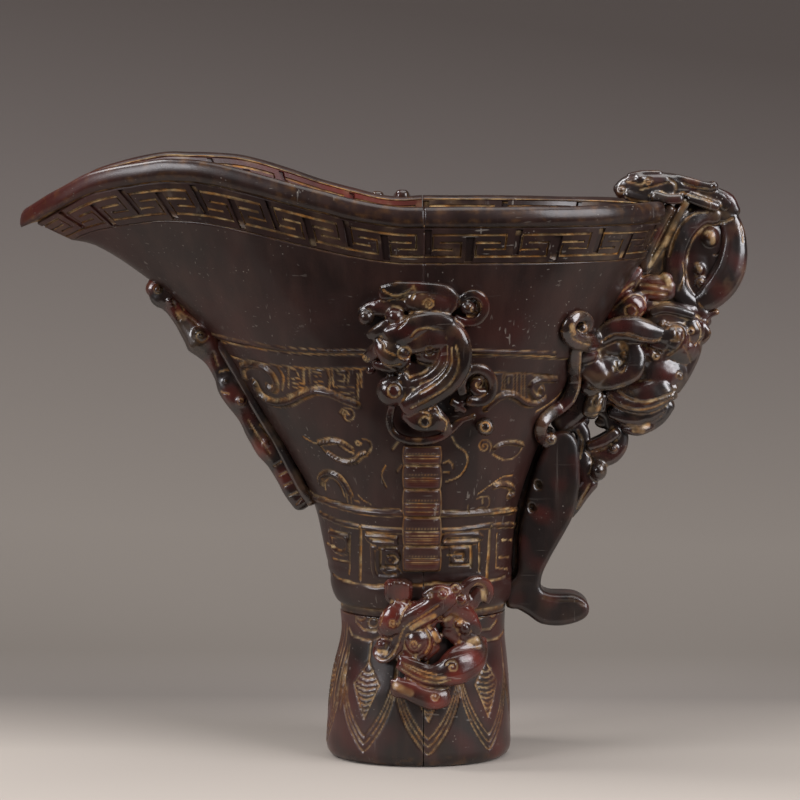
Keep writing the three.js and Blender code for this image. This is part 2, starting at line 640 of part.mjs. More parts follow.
function footDragon(side, grow) {
  const limbs = footDragonShares.map((limb) => limb.map(([across, height, lift, girth]) => (
    flankSpot(across * footDragonReach, height * footHeight,
      lift * footDragonReach, girth * footDragonReach, side))));
  return figure(limbs, limbDepthShares.flank, grow);
}

// A raised bar of cushions that follows the flank below the dragon
function ladderFlange(side) {
  const cushions = ladderEdgeShares.slice(1).map((top, index) => {
    const bottom = ladderEdgeShares[index];
    const places = ladderBowShares.map((bow, step) => {
      const rise = mix(bottom, top, step / (ladderBowShares.length - 1));
      const z = footHeight + rise * bowlHeight;
      return flankSpot(0, z, ladderThickness - ladderDepth, ladderHalfWidth * bow, side);
    });
    return limbSolid(places, ladderThickness / ladderHalfWidth, 0);
  });
  return united(cushions);
}

// Spot on the ridge under the spout, with the way it faces
function ridgeSpot(rise, lift) {
  const at = (level) => {
    const reach = bowlPlan(level, true).reach;
    return new THREE.Vector3(-reach, 0, mix(footHeight, rimHeight(-reach), level));
  };
  const spot = at(rise);
  const tangent = at(rise + fit / bowlHeight).sub(spot).normalize();
  const out = new THREE.Vector3(-tangent.z, 0, tangent.x);
  return { spot: spot.addScaledVector(out, lift), out };
}

// The flat strip that follows the ridge under the spout
function frontFlange(grow) {
  const sections = [];
  for (let step = 0; step <= flangeSteps; step += 1) {
    const rise = mix(flangeRiseShares.bottom, flangeRiseShares.top, step / flangeSteps);
    const low = ridgeSpot(rise, -flangeThickness).spot;
    const high = ridgeSpot(rise, flangeThickness + grow).spot;
    sections.push([low, high]);
  }
  sections[0].forEach((spot) => { spot.z -= grow; });
  sections[flangeSteps].forEach((spot) => { spot.z += grow; });
  const outline = [...sections.map((pair) => pair[1]), ...sections.map((pair) => pair[0]).reverse()];
  const shape = new THREE.Shape(outline.map((spot) => new THREE.Vector2(spot.x, spot.z)));
  return extrudedAcross(shape, flangeHalfWidth + grow, flangeThickness / 4);
}

// An outline of the side elevation, carried through the cup's width
function extrudedAcross(shape, halfDepth, round) {
  const geometry = new THREE.ExtrudeGeometry(shape, {
    depth: 2 * (halfDepth - round),
    bevelThickness: round,
    bevelSize: round,
    bevelOffset: -round,
    bevelSegments: 1,
  });
  geometry.translate(0, 0, round - halfDepth);
  geometry.rotateX(Math.PI / 2);
  return toSolid(geometry);
}

function frontDragon() {
  const limb = frontDragonShares.map(([along, lift, girth, step]) => {
    const rise = mix(flangeRiseShares.bottom, flangeRiseShares.top, along);
    const place = ridgeSpot(rise, flangeThickness + lift * frontDragonHeight);
    place.spot.y = step * flangeHalfWidth;
    return { ...place, girth: girth * frontDragonRadius };
  });
  return figure([limb], limbDepthShares.flat, 0);
}

// Place in the side elevation, counted out from the bowl's rear edge and up from the foot
function handlePlace(along, up) {
  const z = mix(footHeight, cupHeight, (up - handleFootShare) / (1 - handleFootShare));
  const rise = THREE.MathUtils.clamp((z - footHeight) / bowlHeight, 0, 1);
  const edge = bowlPlan(rise, false).reach;
  const edgeShare = mix(handleEdgeShares.waist, handleEdgeShares.rim, smoothShare(rearProfileShares, rise));
  const x = edge + (along - edgeShare) * handleReach;
  return { x, z };
}

function handleFigure(limbShares, depthShare, grow, face = 1) {
  const limbs = limbShares.map((limb) => limb.map(([along, up, side, girth]) => {
    const { x, z } = handlePlace(along, up);
    const spot = new THREE.Vector3(x, face * side * handleReach, z);
    return { spot, out: new THREE.Vector3(0, face, 0), girth: girth * handleReach };
  }));
  return figure(limbs, depthShare, grow);
}

function handleStrap(grow) {
  const points = strapOutlineShares.map(([along, up]) => {
    const { x, z } = handlePlace(along, up);
    return new THREE.Vector2(x, z);
  });
  const curve = new THREE.SplineCurve([...points, points[0]]);
  const shape = new THREE.Shape(curve.getPoints(points.length * 2).slice(1));
  const strap = extrudedAcross(shape, strapHalfDepth + grow, strapEdgeRadius);
  return grow > 0 ? strap : cutBy(strap, pegHoleShares.map(pegHole));
}

// A peg hole bored straight through the strap
function pegHole([along, up]) {
  const length = 2 * strapHalfDepth + overrun;
  const bore = new THREE.CylinderGeometry(pegHoleRadius, pegHoleRadius, length, 8);
  const { x, z } = handlePlace(along, up);
  bore.translate(x, 0, z);
  return toSolid(bore);
}

const wallKeep = bowlWall(fit);
const footKeep = footSolid(fit);
const cupKeep = [wallKeep, footKeep];

const wall = cutBy(bowlWall(0), [
  fretCuts(true, false), fretCuts(true, true), fretCuts(false, false), fretCuts(false, true),
]);
const foot = footSolid(0);
const towardsHandle = seamCutter(1);
const towardsSpout = seamCutter(-1);

const pieces = [];

function addPiece(name, solid, finish) {
  pieces.push({ name, solid: largestPiece(solid), finish });
}

addPiece('bowl_front_half', wall.subtract(towardsHandle), horn);
addPiece('bowl_rear_half', wall.subtract(towardsSpout), horn);
addPiece('cup_floor', floorSolid(), darkHorn);
addPiece('foot_front_half', foot.subtract(towardsHandle), horn);
addPiece('foot_rear_half', foot.subtract(towardsSpout), redHorn);
addPiece('foot_base_plate', plateSolid(), darkHorn);

for (const [place, side] of [['near', -1], ['far', 1]]) {
  const flankKeep = flankDragon(side, fit);
  const footDragonKeep = footDragon(side, fit);
  const keep = [...cupKeep, flankKeep, footDragonKeep];
  addPiece(`${place}_ladder_flange`, cutBy(ladderFlange(side), keep), horn);
  addPiece(`${place}_flank_dragon`, cutBy(flankDragon(side, 0), cupKeep), redHorn);
  addPiece(`${place}_foot_dragon`, cutBy(footDragon(side, 0), cupKeep), redHorn);
}

addPiece('front_flange', cutBy(frontFlange(0), cupKeep), horn);
addPiece('front_dragon', cutBy(frontDragon(), [...cupKeep, frontFlange(fit)]), redHorn);

// Handle pieces in the order they are fitted, each cut clear of those before it
const { round, handle, head } = limbDepthShares;
const handleOrder = [
  ['handle_strap', (grow) => handleStrap(grow), darkHorn],
  ['near_side_limb', (grow) => handleFigure(sideLimbShares, round, grow, -1), darkHorn],
  ['far_side_limb', (grow) => handleFigure(sideLimbShares, round, grow, 1), darkHorn],
  ['beast_head', (grow) => handleFigure(headShares, head, grow), horn],
  ['near_beast_wing', (grow) => handleFigure(wingShares, round, grow, -1), horn],
  ['far_beast_wing', (grow) => handleFigure(wingShares, round, grow, 1), horn],
  ['handle_knot', (grow) => handleFigure(knotShares, handle, grow), horn],
  ['beast_brow_limb', (grow) => handleFigure(browLimbShares, head, grow), redHorn],
  ['rim_dragon', (grow) => handleFigure(rimDragonShares, handle, grow), darkHorn],
  ['handle_loop', (grow) => handleFigure(loopShares, handle, grow), redHorn],
  ['handle_inner_limb', (grow) => handleFigure(innerLimbShares, handle, grow), darkHorn],
];

const fitted = [bowlBlock(fit), wallKeep, footKeep];
for (const [name, build, finish] of handleOrder) {
  const keep = name === 'rim_dragon' ? fitted.slice(1) : fitted;
  addPiece(name, cutBy(build(0), keep), finish);
  fitted.push(build(fit));
}

const cup = new THREE.Group();
for (const { name, solid, finish } of pieces) {
  const material = new THREE.MeshStandardMaterial({ ...finish, metalness: 0 });
  const mesh = new THREE.Mesh(toGeometry(solid), material);
  mesh.name = name;
  cup.add(mesh);
}

export default cup;
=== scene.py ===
# A libation cup pieced from carved horn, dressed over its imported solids.
# X runs from the spout (negative) to the handle, Y away from the camera, Z up.
import math
import bpy
import bmesh
import numpy as np
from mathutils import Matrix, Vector
from mathutils.bvhtree import BVHTree


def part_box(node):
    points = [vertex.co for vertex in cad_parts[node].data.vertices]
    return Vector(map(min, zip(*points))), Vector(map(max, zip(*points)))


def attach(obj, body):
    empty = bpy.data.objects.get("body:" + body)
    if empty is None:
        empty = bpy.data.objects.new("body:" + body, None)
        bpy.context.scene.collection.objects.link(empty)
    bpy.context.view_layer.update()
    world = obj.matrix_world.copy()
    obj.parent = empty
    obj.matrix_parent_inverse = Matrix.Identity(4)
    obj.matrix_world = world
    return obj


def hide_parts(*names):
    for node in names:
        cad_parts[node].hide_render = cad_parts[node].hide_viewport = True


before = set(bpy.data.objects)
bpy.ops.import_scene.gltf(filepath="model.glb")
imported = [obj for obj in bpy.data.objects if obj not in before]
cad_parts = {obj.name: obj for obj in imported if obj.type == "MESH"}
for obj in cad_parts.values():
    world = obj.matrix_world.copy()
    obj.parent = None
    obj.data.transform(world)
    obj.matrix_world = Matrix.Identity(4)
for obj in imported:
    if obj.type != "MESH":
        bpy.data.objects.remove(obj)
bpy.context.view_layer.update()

BODY = "root"
SEED = 7
MM = 0.001
FAR_AWAY = 1e3


# Sizes of the cup, in millimetres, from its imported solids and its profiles
def node_box(name):
    low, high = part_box(name)
    return np.array(low) / MM, np.array(high) / MM


foot_height = node_box("bowl_front_half")[0][2]
spout_reach = -node_box("bowl_front_half")[0][0]
rear_reach = node_box("bowl_rear_half")[1][0]
rim_half_width = node_box("bowl_rear_half")[1][1]
spout_rise = 14.5
rim_level = 173.5
bowl_height = rim_level - foot_height
waist_reach = 25.5
waist_half_width = 21.5
foot_front_reach = -node_box("foot_front_half")[0][0]
foot_rear_reach = node_box("foot_rear_half")[1][0]
foot_half_width = node_box("foot_rear_half")[1][1]
wall_thickness = 6.5
lip_drop = 5.5
lip_inset = 3.4
seam_gap = 0.3

FRONT_PROFILE = [
    (0, 0), (0.11, 0.045), (0.25, 0.09), (0.36, 0.17), (0.48, 0.284), (0.6, 0.398),
    (0.73, 0.597), (0.83, 0.765), (0.88, 0.865), (0.96, 0.965), (1, 1),
]
REAR_PROFILE = [
    (0, 0), (0.05, 0.04), (0.24, 0.085), (0.37, 0.19), (0.51, 0.35),
    (0.78, 0.73), (0.91, 0.945), (1, 1),
]
WIDTH_PROFILE = [(0, 0), (0.1, 0.1), (0.25, 0.24), (0.5, 0.53), (0.75, 0.77), (0.9, 0.92), (1, 1)]
RIM_RISE = [
    (0, 0), (0.06, 0.02), (0.18, 0.16), (0.32, 0.32), (0.43, 0.55), (0.52, 0.78),
    (0.62, 1), (0.7, 0.93), (0.81, 0.68), (0.89, 0.3), (1, -0.23),
]
# The carved rim swells a little behind the spout, more on the far side: (share of the reach, mm)
NEAR_SWELL = [
    (0, 0), (0.1, -0.2), (0.18, 0.2), (0.25, 1.4), (0.35, 2.6), (0.45, 2.6), (0.54, 1.4), (0.6, -0.3),
    (0.66, -1), (0.75, -0.8), (0.88, 0), (1, 0),
]
FAR_SWELL = [
    (0, 0), (0.1, -0.8), (0.18, 0.2), (0.25, 1.6), (0.35, 3.8), (0.45, 4.2), (0.53, 2.4), (0.6, 0.3),
    (0.66, 0), (1, 0),
]
FOOT_PROFILE = [(0, 1), (0.12, 1), (0.5, 0.74), (0.8, 0.1), (0.9, 0), (1, 0.08)]
PLAN_POWER = {"waist": 2, "spout": 1.7, "rear": 2.4}
PLAN_FALL = {"waist": 0.5, "spout": 0.74, "rear": 0.5}


def mix(low, high, share):
    return low + (high - low) * share


def smooth_step(low, high, value):
    share = np.clip((value - low) / (high - low), 0, 1)
    return share * share * (3 - 2 * share)


def smooth_share(table, at):
    spots = np.array(table, float)
    xs, ys = spots[:, 0], spots[:, 1]
    last = len(xs) - 1
    order = np.arange(last + 1)
    after, before = np.minimum(order + 1, last), np.maximum(order - 1, 0)
    slopes = (ys[after] - ys[before]) / (xs[after] - xs[before])
    at = np.clip(np.asarray(at, float), xs[0], xs[-1])
    i = np.clip(np.searchsorted(xs, at, side="left") - 1, 0, last - 1)
    width = xs[i + 1] - xs[i]
    t = (at - xs[i]) / width
    rise = t * t * (3 - 2 * t)
    start = t * (1 - t) * (1 - t) * width * slopes[i]
    finish = t * t * (t - 1) * width * slopes[i + 1]
    return ys[i] * (1 - rise) + ys[i + 1] * rise + start + finish


def rim_height(x, y=-20.0):
    share = np.maximum(-x, 0) / spout_reach
    swell = mix(smooth_share(NEAR_SWELL, share), smooth_share(FAR_SWELL, share), smooth_step(-8, 8, y))
    return rim_level + spout_rise * smooth_share(RIM_RISE, share) + swell


def bowl_plan(rise, front):
    profile = FRONT_PROFILE if front else REAR_PROFILE
    end = "spout" if front else "rear"
    reach = mix(waist_reach, spout_reach if front else rear_reach, smooth_share(profile, rise))
    half = mix(waist_half_width, rim_half_width, smooth_share(WIDTH_PROFILE, rise))
    power = mix(PLAN_POWER["waist"], PLAN_POWER[end], rise)
    fall = mix(PLAN_FALL["waist"], PLAN_FALL[end], rise)
    return reach, half, power, fall


def foot_plan(rise, front):
    spread = smooth_share(FOOT_PROFILE, rise)
    reach = mix(waist_reach, foot_front_reach if front else foot_rear_reach, spread)
    half = mix(waist_half_width, foot_half_width, spread)
    return reach, half, 2.0 + 0 * spread, 0.5 + 0 * spread


def plan_point(plan, turn, inset):
    reach, half, power, fall = plan
    along = np.abs(np.sin(turn)) ** (2 / power)
    across = np.abs(np.cos(turn)) ** (2 * fall)
    x = -np.sign(np.sin(turn)) * (reach - inset) * along
    y = -np.sign(np.cos(turn)) * (half - inset) * across
    return x, y


def bowl_points(turn, rise, inset, lift, front):
    x, y = plan_point(bowl_plan(rise, front), turn, inset)
    z = foot_height + rise * (rim_height(x, y) - foot_height) + lift
    return np.stack(np.broadcast_arrays(x, y, z), axis=-1)


def flank_depth(x, z):
    """Half width of the cup's outer surface at places of its side elevation."""
    x, z = np.asarray(x, float), np.asarray(z, float)
    rise = (z - foot_height) / (rim_height(x) - foot_height)
    depth = np.zeros(np.broadcast(x, z).shape)
    for front in (True, False):
        bowl = bowl_plan(np.clip(rise, 0, 1), front)
        foot = foot_plan(np.clip(z / foot_height, 0, 1), front)
        reach, half, power, fall = [np.where(rise > 0, b, f) for b, f in zip(bowl, foot)]
        along = np.minimum(np.abs(x) / reach, 1)
        here = half * (1 - along ** power) ** fall
        depth = np.where((x < 0) == front, here, depth)
    return depth


# The camera, and where a spot of the photograph lies on the near flank
IMAGE_SIZE = 800
SENSOR = 36.0
LENS = 159.7
CAMERA_PLACE = np.array([-7.2, -1100.0, 217.4])
CAMERA_PITCH = math.radians(5.5)
FOCUS_PX = IMAGE_SIZE * LENS / SENSOR


def photo_rays(pixels):
    pixels = np.asarray(pixels, float).reshape(-1, 2)
    right = (pixels[:, 0] - IMAGE_SIZE / 2) / FOCUS_PX
    up = (IMAGE_SIZE / 2 - pixels[:, 1]) / FOCUS_PX
    cosine, sine = math.cos(CAMERA_PITCH), math.sin(CAMERA_PITCH)
    return np.stack([right, cosine + up * sine, up * cosine - sine], axis=-1)


def at_depth(pixels, y):
    """Spots of the photograph carried to a plane across the line of sight."""
    rays = photo_rays(pixels)
    return CAMERA_PLACE + rays * ((np.asarray(y) - CAMERA_PLACE[1]) / rays[:, 1])[:, None]


def on_flank(pixels, steps=10):
    """Spots of the photograph carried to the near flank."""
    y = np.full(len(np.asarray(pixels).reshape(-1, 2)), -30.0)
    for _ in range(steps):
        spots = at_depth(pixels, y)
        y = 0.4 * y - 0.6 * flank_depth(spots[:, 0], spots[:, 2])
    return at_depth(pixels, y)


def densify(path, step):
    """A path with more spots, on a smooth curve through the given ones."""
    path = np.asarray(path, float)
    if len(path) < 3:
        count = max(2, int(np.linalg.norm(path[-1] - path[0]) / step) + 1)
        share = np.linspace(0, 1, count)[:, None]
        return path[0] * (1 - share) + path[-1] * share
    padded = np.vstack([2 * path[0] - path[1], path, 2 * path[-1] - path[-2]])
    spots = []
    for a, b, c, d in zip(padded, padded[1:], padded[2:], padded[3:]):
        count = max(1, int(np.linalg.norm(c - b) / step))
        t = (np.arange(count) / count)[:, None]
        curve = 2 * b + (c - a) * t + (2 * a - 5 * b + 4 * c - d) * t ** 2
        spots.append(0.5 * (curve + (3 * b - a - 3 * c + d) * t ** 3))
    spots.append(path[-1:])
    return np.vstack(spots)


def path_distance(points, path, reach):
    """Distance of each point to a path, as far as the reach."""
    best = np.full(len(points), FAR_AWAY)
    low, high = path.min(0) - reach, path.max(0) + reach
    near = np.flatnonzero(np.all((points > low) & (points < high), axis=1))
    if not len(near):
        return best
    spots = points[near]
    least = np.full(len(near), FAR_AWAY)
    for a, b in zip(path[:-1], path[1:]):
        span = b - a
        length = max(float(span @ span), 1e-12)
        share = np.clip((spots - a) @ span / length, 0, 1)
        gap = spots - a - share[:, None] * span
        least = np.minimum(least, np.sqrt((gap * gap).sum(1)))
    best[near] = least
    return best


def spiral(centre, radius, turns=1.6, start=0.0, hand=1, inner=0.15):
    """A spiral in photo pixels that winds in from its outer end."""
    share = np.linspace(0, 1, int(10 * turns) + 4)
    angle = math.radians(start) + hand * 2 * math.pi * turns * share
    reach = radius * (1 - (1 - inner) * share)
    return np.stack([centre[0] + reach * np.cos(angle), centre[1] + reach * np.sin(angle)], axis=-1)


def ring(centre, radius):
    return spiral(centre, radius, turns=1, inner=1)


# Meshes from rows of points
def placed(name, data):
    thing = bpy.data.objects.new(name, data)
    bpy.context.scene.collection.objects.link(thing)
    return thing


def mesh_object(name, points, faces, smooth=True):
    mesh = bpy.data.meshes.new(name)
    mesh.from_pydata((np.asarray(points) * MM).tolist(), [], [list(map(int, face)) for face in faces])
    mesh.validate()
    mesh.update()
    mesh.polygons.foreach_set("use_smooth", [smooth] * len(mesh.polygons))
    return placed(name, mesh)


def set_attribute(thing, name, values):
    layer = thing.data.attributes.new(name, "FLOAT", "POINT")
    layer.data.foreach_set("value", np.asarray(values, np.float32))


def mesh_points(thing):
    spots = np.zeros(len(thing.data.vertices) * 3, np.float32)
    thing.data.vertices.foreach_get("co", spots)
    return spots.reshape(-1, 3).astype(float) / MM


def move_points(thing, spots):
    thing.data.vertices.foreach_set("co", (spots * MM).astype(np.float32).ravel())
    thing.data.update()


def mesh_normals(thing):
    normals = np.zeros(len(thing.data.vertices) * 3, np.float32)
    thing.data.vertices.foreach_get("normal", normals)
    return normals.reshape(-1, 3).astype(float)


def grid_faces(columns, rows, wrap_rows=False):
    spots = np.arange(columns * rows).reshape(columns, rows)
    here, far = spots[:-1], spots[1:]
    if wrap_rows:
        a, b = here, far
        c, d = np.roll(far, -1, axis=1), np.roll(here, -1, axis=1)
    else:
        a, b, c, d = here[:, :-1], far[:, :-1], far[:, 1:], here[:, 1:]
    return np.stack([a.ravel(), b.ravel(), c.ravel(), d.ravel()], axis=-1).tolist()


def ring_faces(rings, sides):
    """Faces of a closed tube: from ring to ring, and over its two ends."""
    here = np.arange(rings * sides).reshape(rings, sides)
    faces = []
    for low, high in zip(here[:-1], here[1:]):
        faces += np.stack([low, np.roll(low, -1), np.roll(high, -1), high], axis=-1).tolist()
    return faces + [here[0][::-1].tolist(), here[-1].tolist()]


def keep_side(points, front):
    """Holds the points of one half back from the seam."""
    side = -1 if front else 1
    points[..., 0] = side * np.maximum(side * points[..., 0], seam_gap / 2)


def close_seam(grid, front):
    """Sets the end columns of a half on its seam face, and gives the outlines of that face."""
    keep_side(grid, front)
    grid[0, :, 0] = grid[-1, :, 0] = (-1 if front else 1) * seam_gap / 2
    columns, count = grid.shape[:2]
    return list(range(count)), list(range((columns - 1) * count, columns * count))[::-1]


def near_side(points):
    """The same points, with those of the far side turned over to the near one."""
    return points * [1, 0, 1] - np.abs(points) * [0, 1, 0]


class Neighbours:
    """The mesh neighbours of each point."""

    def __init__(self, thing):
        self.count = len(thing.data.vertices)
        edges = np.zeros(len(thing.data.edges) * 2, np.int32)
        thing.data.edges.foreach_get("vertices", edges)
        self.a, self.b = edges.reshape(-1, 2).T
        number = np.bincount(self.a, minlength=self.count) + np.bincount(self.b, minlength=self.count)
        self.weight = np.maximum(number, 1)[:, None]

    def mean(self, spots):
        total = np.zeros_like(spots)
        for axis in range(3):
            total[:, axis] = np.bincount(self.a, spots[self.b, axis], self.count)
            total[:, axis] += np.bincount(self.b, spots[self.a, axis], self.count)
        return total / self.weight


def grid_normals(grid):
    """Normals of a grid of points, by column and row."""
    along = np.gradient(grid, axis=0)
    up = np.gradient(grid, axis=1)
    normal = np.cross(along, up)
    length = np.linalg.norm(normal, axis=-1, keepdims=True)
    return normal / np.maximum(length, 1e-9)


def outward(thing):
    """Turns the faces of a closed mesh outwards."""
    work = bmesh.new()
    work.from_mesh(thing.data)
    bmesh.ops.recalc_face_normals(work, faces=work.faces)
    if work.calc_volume(signed=True) < 0:
        bmesh.ops.reverse_faces(work, faces=work.faces)
    work.to_mesh(thing.data)
    work.free()
    return thing


# Shader maths: a wrapped socket takes the usual operators and adds its Math nodes
class Link:
    def __init__(self, paint, socket):
        self.paint, self.socket = paint, socket

    def maths(self, operation, first, second):
        return self.paint.node("ShaderNodeMath", {"operation": operation}, {0: first, 1: second})

    def __add__(self, other): return self.maths("ADD", self, other)
    def __radd__(self, other): return self.maths("ADD", other, self)
    def __sub__(self, other): return self.maths("SUBTRACT", self, other)
    def __rsub__(self, other): return self.maths("SUBTRACT", other, self)
    def __mul__(self, other): return self.maths("MULTIPLY", self, other)
    def __rmul__(self, other): return self.maths("MULTIPLY", other, self)
    def low(self, other): return self.maths("MINIMUM", self, other)
    def high(self, other): return self.maths("MAXIMUM", self, other)

    def step(self, low, high, kind="SMOOTHSTEP"):
        """0 below low and 1 above high, smooth or even between."""
        settings = {"interpolation_type": kind}
        return self.paint.node("ShaderNodeMapRange", settings, {0: self, 1: low, 2: high})


class Paint:
    """A material under construction."""

    def __init__(self, name):
        self.material = bpy.data.materials.new(name)
        self.material.use_nodes = True
        self.tree = self.material.node_tree
        self.tree.nodes.clear()
        self.place = Link(self, self.make("ShaderNodeTexCoord").outputs["Object"])

    def make(self, kind, settings=None, values=None):
        made = self.tree.nodes.new(kind)
        for key, value in (settings or {}).items():
            setattr(made, key, value)
        for key, value in (values or {}).items():
            if isinstance(value, Link):
                self.tree.links.new(value.socket, made.inputs[key])
            else:
                made.inputs[key].default_value = value
        return made

    def node(self, kind, settings=None, values=None, out=0):
        return Link(self, self.make(kind, settings, values).outputs[out])

    def attribute(self, name):
        return self.node("ShaderNodeAttribute", {"attribute_name": name}, out="Fac")

    def stretched(self, scale):
        return self.node("ShaderNodeMapping", None, {"Vector": self.place, "Scale": scale})

    def noise(self, scale, detail, place=None):
        values = {"Vector": place or self.place, "Scale": scale, "Detail": detail, "Roughness": 0.55}
        return self.node("ShaderNodeTexNoise", None, values)

    def cells(self, scale):
        values = {"Vector": self.place, "Scale": scale}
        return self.node("ShaderNodeTexVoronoi", None, values, out="Distance")

    def blend(self, share, first, second):
        """Colours or links mixed by a share."""
        made = self.make("ShaderNodeMix", {"data_type": "RGBA"}, {"Factor": share})
        for key, value in ((6, first), (7, second)):
            if isinstance(value, Link):
                self.tree.links.new(value.socket, made.inputs[key])
            else:
                made.inputs[key].default_value = value
        return Link(self, made.outputs[2])

    def bump(self, height, strength, distance):
        values = {"Height": height, "Strength": strength, "Distance": distance}
        return self.node("ShaderNodeBump", None, values)

    def finish(self, **sockets):
        values = {key.replace("_", " "): value for key, value in sockets.items()}
        shader = self.make("ShaderNodeBsdfPrincipled", None, values)
        output = self.make("ShaderNodeOutputMaterial")
        self.tree.links.new(shader.outputs[0], output.inputs[0])
        return self.material


def colour(red, green, blue):
    """A display colour, 0 to 255, in the renderer's linear values."""
    shares = [channel / 255 for channel in (red, green, blue)]
    return [s / 12.92 if s <= 0.04045 else ((s + 0.055) / 1.055) ** 2.4 for s in shares] + [1.0]


DARK_UMBER = colour(40, 26, 23)
MAROON = colour(52, 24, 20)
BROWN = colour(60, 41, 35)
BLACK_BROWN = colour(27, 19, 17)
OXBLOOD = colour(104, 38, 28)
DEEP_RED = colour(70, 26, 21)
GOLD_RESIDUE = colour(172, 120, 58)
PALE_RESIDUE = colour(184, 156, 110)
DUST = colour(150, 142, 132)
TAN_HORN = colour(128, 102, 74)


def carved_horn(name, body, patch, patch_share, residue_share, roughness, tan_wear_and_top_light, gloss):
    """Stained horn: mottled body, redder patches, residue in the carving, fine wear, and tan wear that is
    stronger on upward faces as a painted top light.
    """
    paint = Paint(name)
    grain = paint.stretched((1.0, 1.0, 0.16))
    mottle = paint.noise(55, 5).step(0.38, 0.66)
    fibres = paint.noise(900, 4, grain)
    streaks = paint.noise(160, 5, grain).step(0.42, 0.68)
    clouds = paint.noise(24, 3)
    groove = paint.attribute("groove")
    hollow = paint.attribute("hollow")
    edge = paint.attribute("edge")
    thin_red_and_painted_sheen = paint.attribute("thin_red_and_painted_sheen")
    base = paint.blend(mottle * 0.75, body, BLACK_BROWN)
    base = paint.blend(streaks * 0.4, base, BROWN)
    # The red attribute is horn that shows red, and on the foot's ends a painted sheen.
    patches = (clouds.step(0.98 - patch_share, 1.3 - patch_share) * 0.8 + thin_red_and_painted_sheen).low(1.0)
    base = paint.blend(patches * (0.55 + fibres * 0.5), base, patch)
    # Painted top light: the tan wear is weighted towards upward faces, so tops are painted lighter as if lit
    # from above; its noise patches are real wear.
    facing = paint.node("ShaderNodeNewGeometry", None, {}, out="Normal")
    upward = paint.node("ShaderNodeSeparateXYZ", None, {0: facing}, out=2).step(-0.1, 0.9)
    wear_and_top_light = paint.noise(120, 5).step(0.5, 0.72) * (0.45 + upward * 0.75)
    base = paint.blend((wear_and_top_light * tan_wear_and_top_light).low(1.0), base, TAN_HORN)
    breaks = paint.noise(420, 4).step(0.3, 0.62) * paint.noise(95, 3).step(0.3, 0.6)
    residue = (groove * (0.2 + breaks * 0.9)).high(hollow * (0.15 + breaks * 0.85))
    residue = (residue * residue_share).low(1.0)
    tan = paint.blend(paint.noise(260, 3).step(0.35, 0.65), GOLD_RESIDUE, PALE_RESIDUE)
    base = paint.blend(residue, base, tan)
    rubbed = edge * paint.noise(300, 4).step(0.45, 0.75)
    base = paint.blend(rubbed * (0.12 + tan_wear_and_top_light * 0.6), base, GOLD_RESIDUE)
    scratch_a = paint.noise(700, 2, paint.stretched((0.06, 1.0, 1.0))).step(0.68, 0.72)
    scratch_b = paint.noise(640, 2, paint.stretched((1.0, 1.0, 0.05))).step(0.69, 0.73)
    scratches = scratch_a.high(scratch_b) * paint.noise(40, 2).step(0.4, 0.7)
    specks = 1 - paint.cells(620).step(0.1, 0.17)
    specks = specks * paint.noise(90, 2).step(0.52, 0.7)
    base = paint.blend((scratches * 0.35 + specks * 0.5).low(1.0), base, DUST)
    smears = paint.noise(70, 4).step(0.3, 0.75)
    matt = roughness + smears * 0.12 + residue * 0.4 + scratches * 0.2 - edge * 0.04
    height = fibres * 0.4 + paint.noise(1500, 2) * 0.5 - scratches * 0.8 + specks * 0.5
    height = height + residue * breaks * 1.2
    bump = paint.bump(height, 0.35, 0.00012)
    return paint.finish(
        Base_Color=base, Roughness=matt, Normal=bump, IOR=1.54, Coat_Weight=gloss * 0.6,
        Coat_Roughness=0.16, Specular_IOR_Level=0.15 + gloss * 0.6)


# Geometry Nodes, built in the script
class Graph:
    def __init__(self, name):
        self.tree = bpy.data.node_groups.new(name, "GeometryNodeTree")
        self.tree.interface.new_socket("Geometry", in_out="OUTPUT", socket_type="NodeSocketGeometry")
        self.keys = {}
        self.entry = None

    def take(self, name, kind):
        """A named input; its value is set by the socket's identifier."""
        socket = self.tree.interface.new_socket(name, in_out="INPUT", socket_type=kind)
        self.keys[name] = socket.identifier
        return name

    def given(self, name):
        if self.entry is None:
            self.entry = self.tree.nodes.new("NodeGroupInput")
        return self.entry.outputs[name]

    def node(self, kind, settings=None, values=None):
        made = self.tree.nodes.new(kind)
        for key, value in (settings or {}).items():
            setattr(made, key, value)
        for key, value in (values or {}).items():
            if isinstance(value, bpy.types.NodeSocket):
                self.tree.links.new(value, made.inputs[key])
            else:
                made.inputs[key].default_value = value
        return made

    def maths(self, operation, first, second=0.0):
        return self.node("ShaderNodeMath", {"operation": operation}, {0: first, 1: second}).outputs[0]

    def vector(self, operation, values, out=0):
        return self.node("ShaderNodeVectorMath", {"operation": operation}, values).outputs[out]

    def close(self, geometry, material):
        """Ends the tree in Realize Instances and Set Material."""
        whole = self.node("GeometryNodeRealizeInstances", None, {0: geometry})
        painted = self.node("GeometryNodeSetMaterial", None, {0: whole.outputs[0], "Material": material})
        end = self.tree.nodes.new("NodeGroupOutput")
        self.tree.links.new(painted.outputs[0], end.inputs[0])

    def grow(self, name, inputs):
        """Evaluates the tree with its inputs set and returns the result as a plain mesh."""
        carrier = placed(name + "_carrier", bpy.data.meshes.new(name + "_carrier"))
        modifier = carrier.modifiers.new("grown", "NODES")
        modifier.node_group = self.tree
        for key, value in inputs.items():
            modifier[self.keys[key]] = value
        bpy.context.view_layer.update()
        live = carrier.evaluated_get(bpy.context.evaluated_depsgraph_get())
        mesh = bpy.data.meshes.new_from_object(live)
        carrier.modifiers.remove(modifier)
        bpy.data.objects.remove(carrier)
        mesh.name = name
        return placed(name, mesh)


def rail(name, spots):
    """A poly curve through spots, for a Geometry Nodes tree to follow."""
    data = bpy.data.curves.new(name, "CURVE")
    data.dimensions = "3D"
    line = data.splines.new("POLY")
    line.points.add(len(spots) - 1)
    flat = np.hstack([np.asarray(spots) * MM, np.ones((len(spots), 1))])
    line.points.foreach_set("co", flat.ravel())
    return placed(name, data)


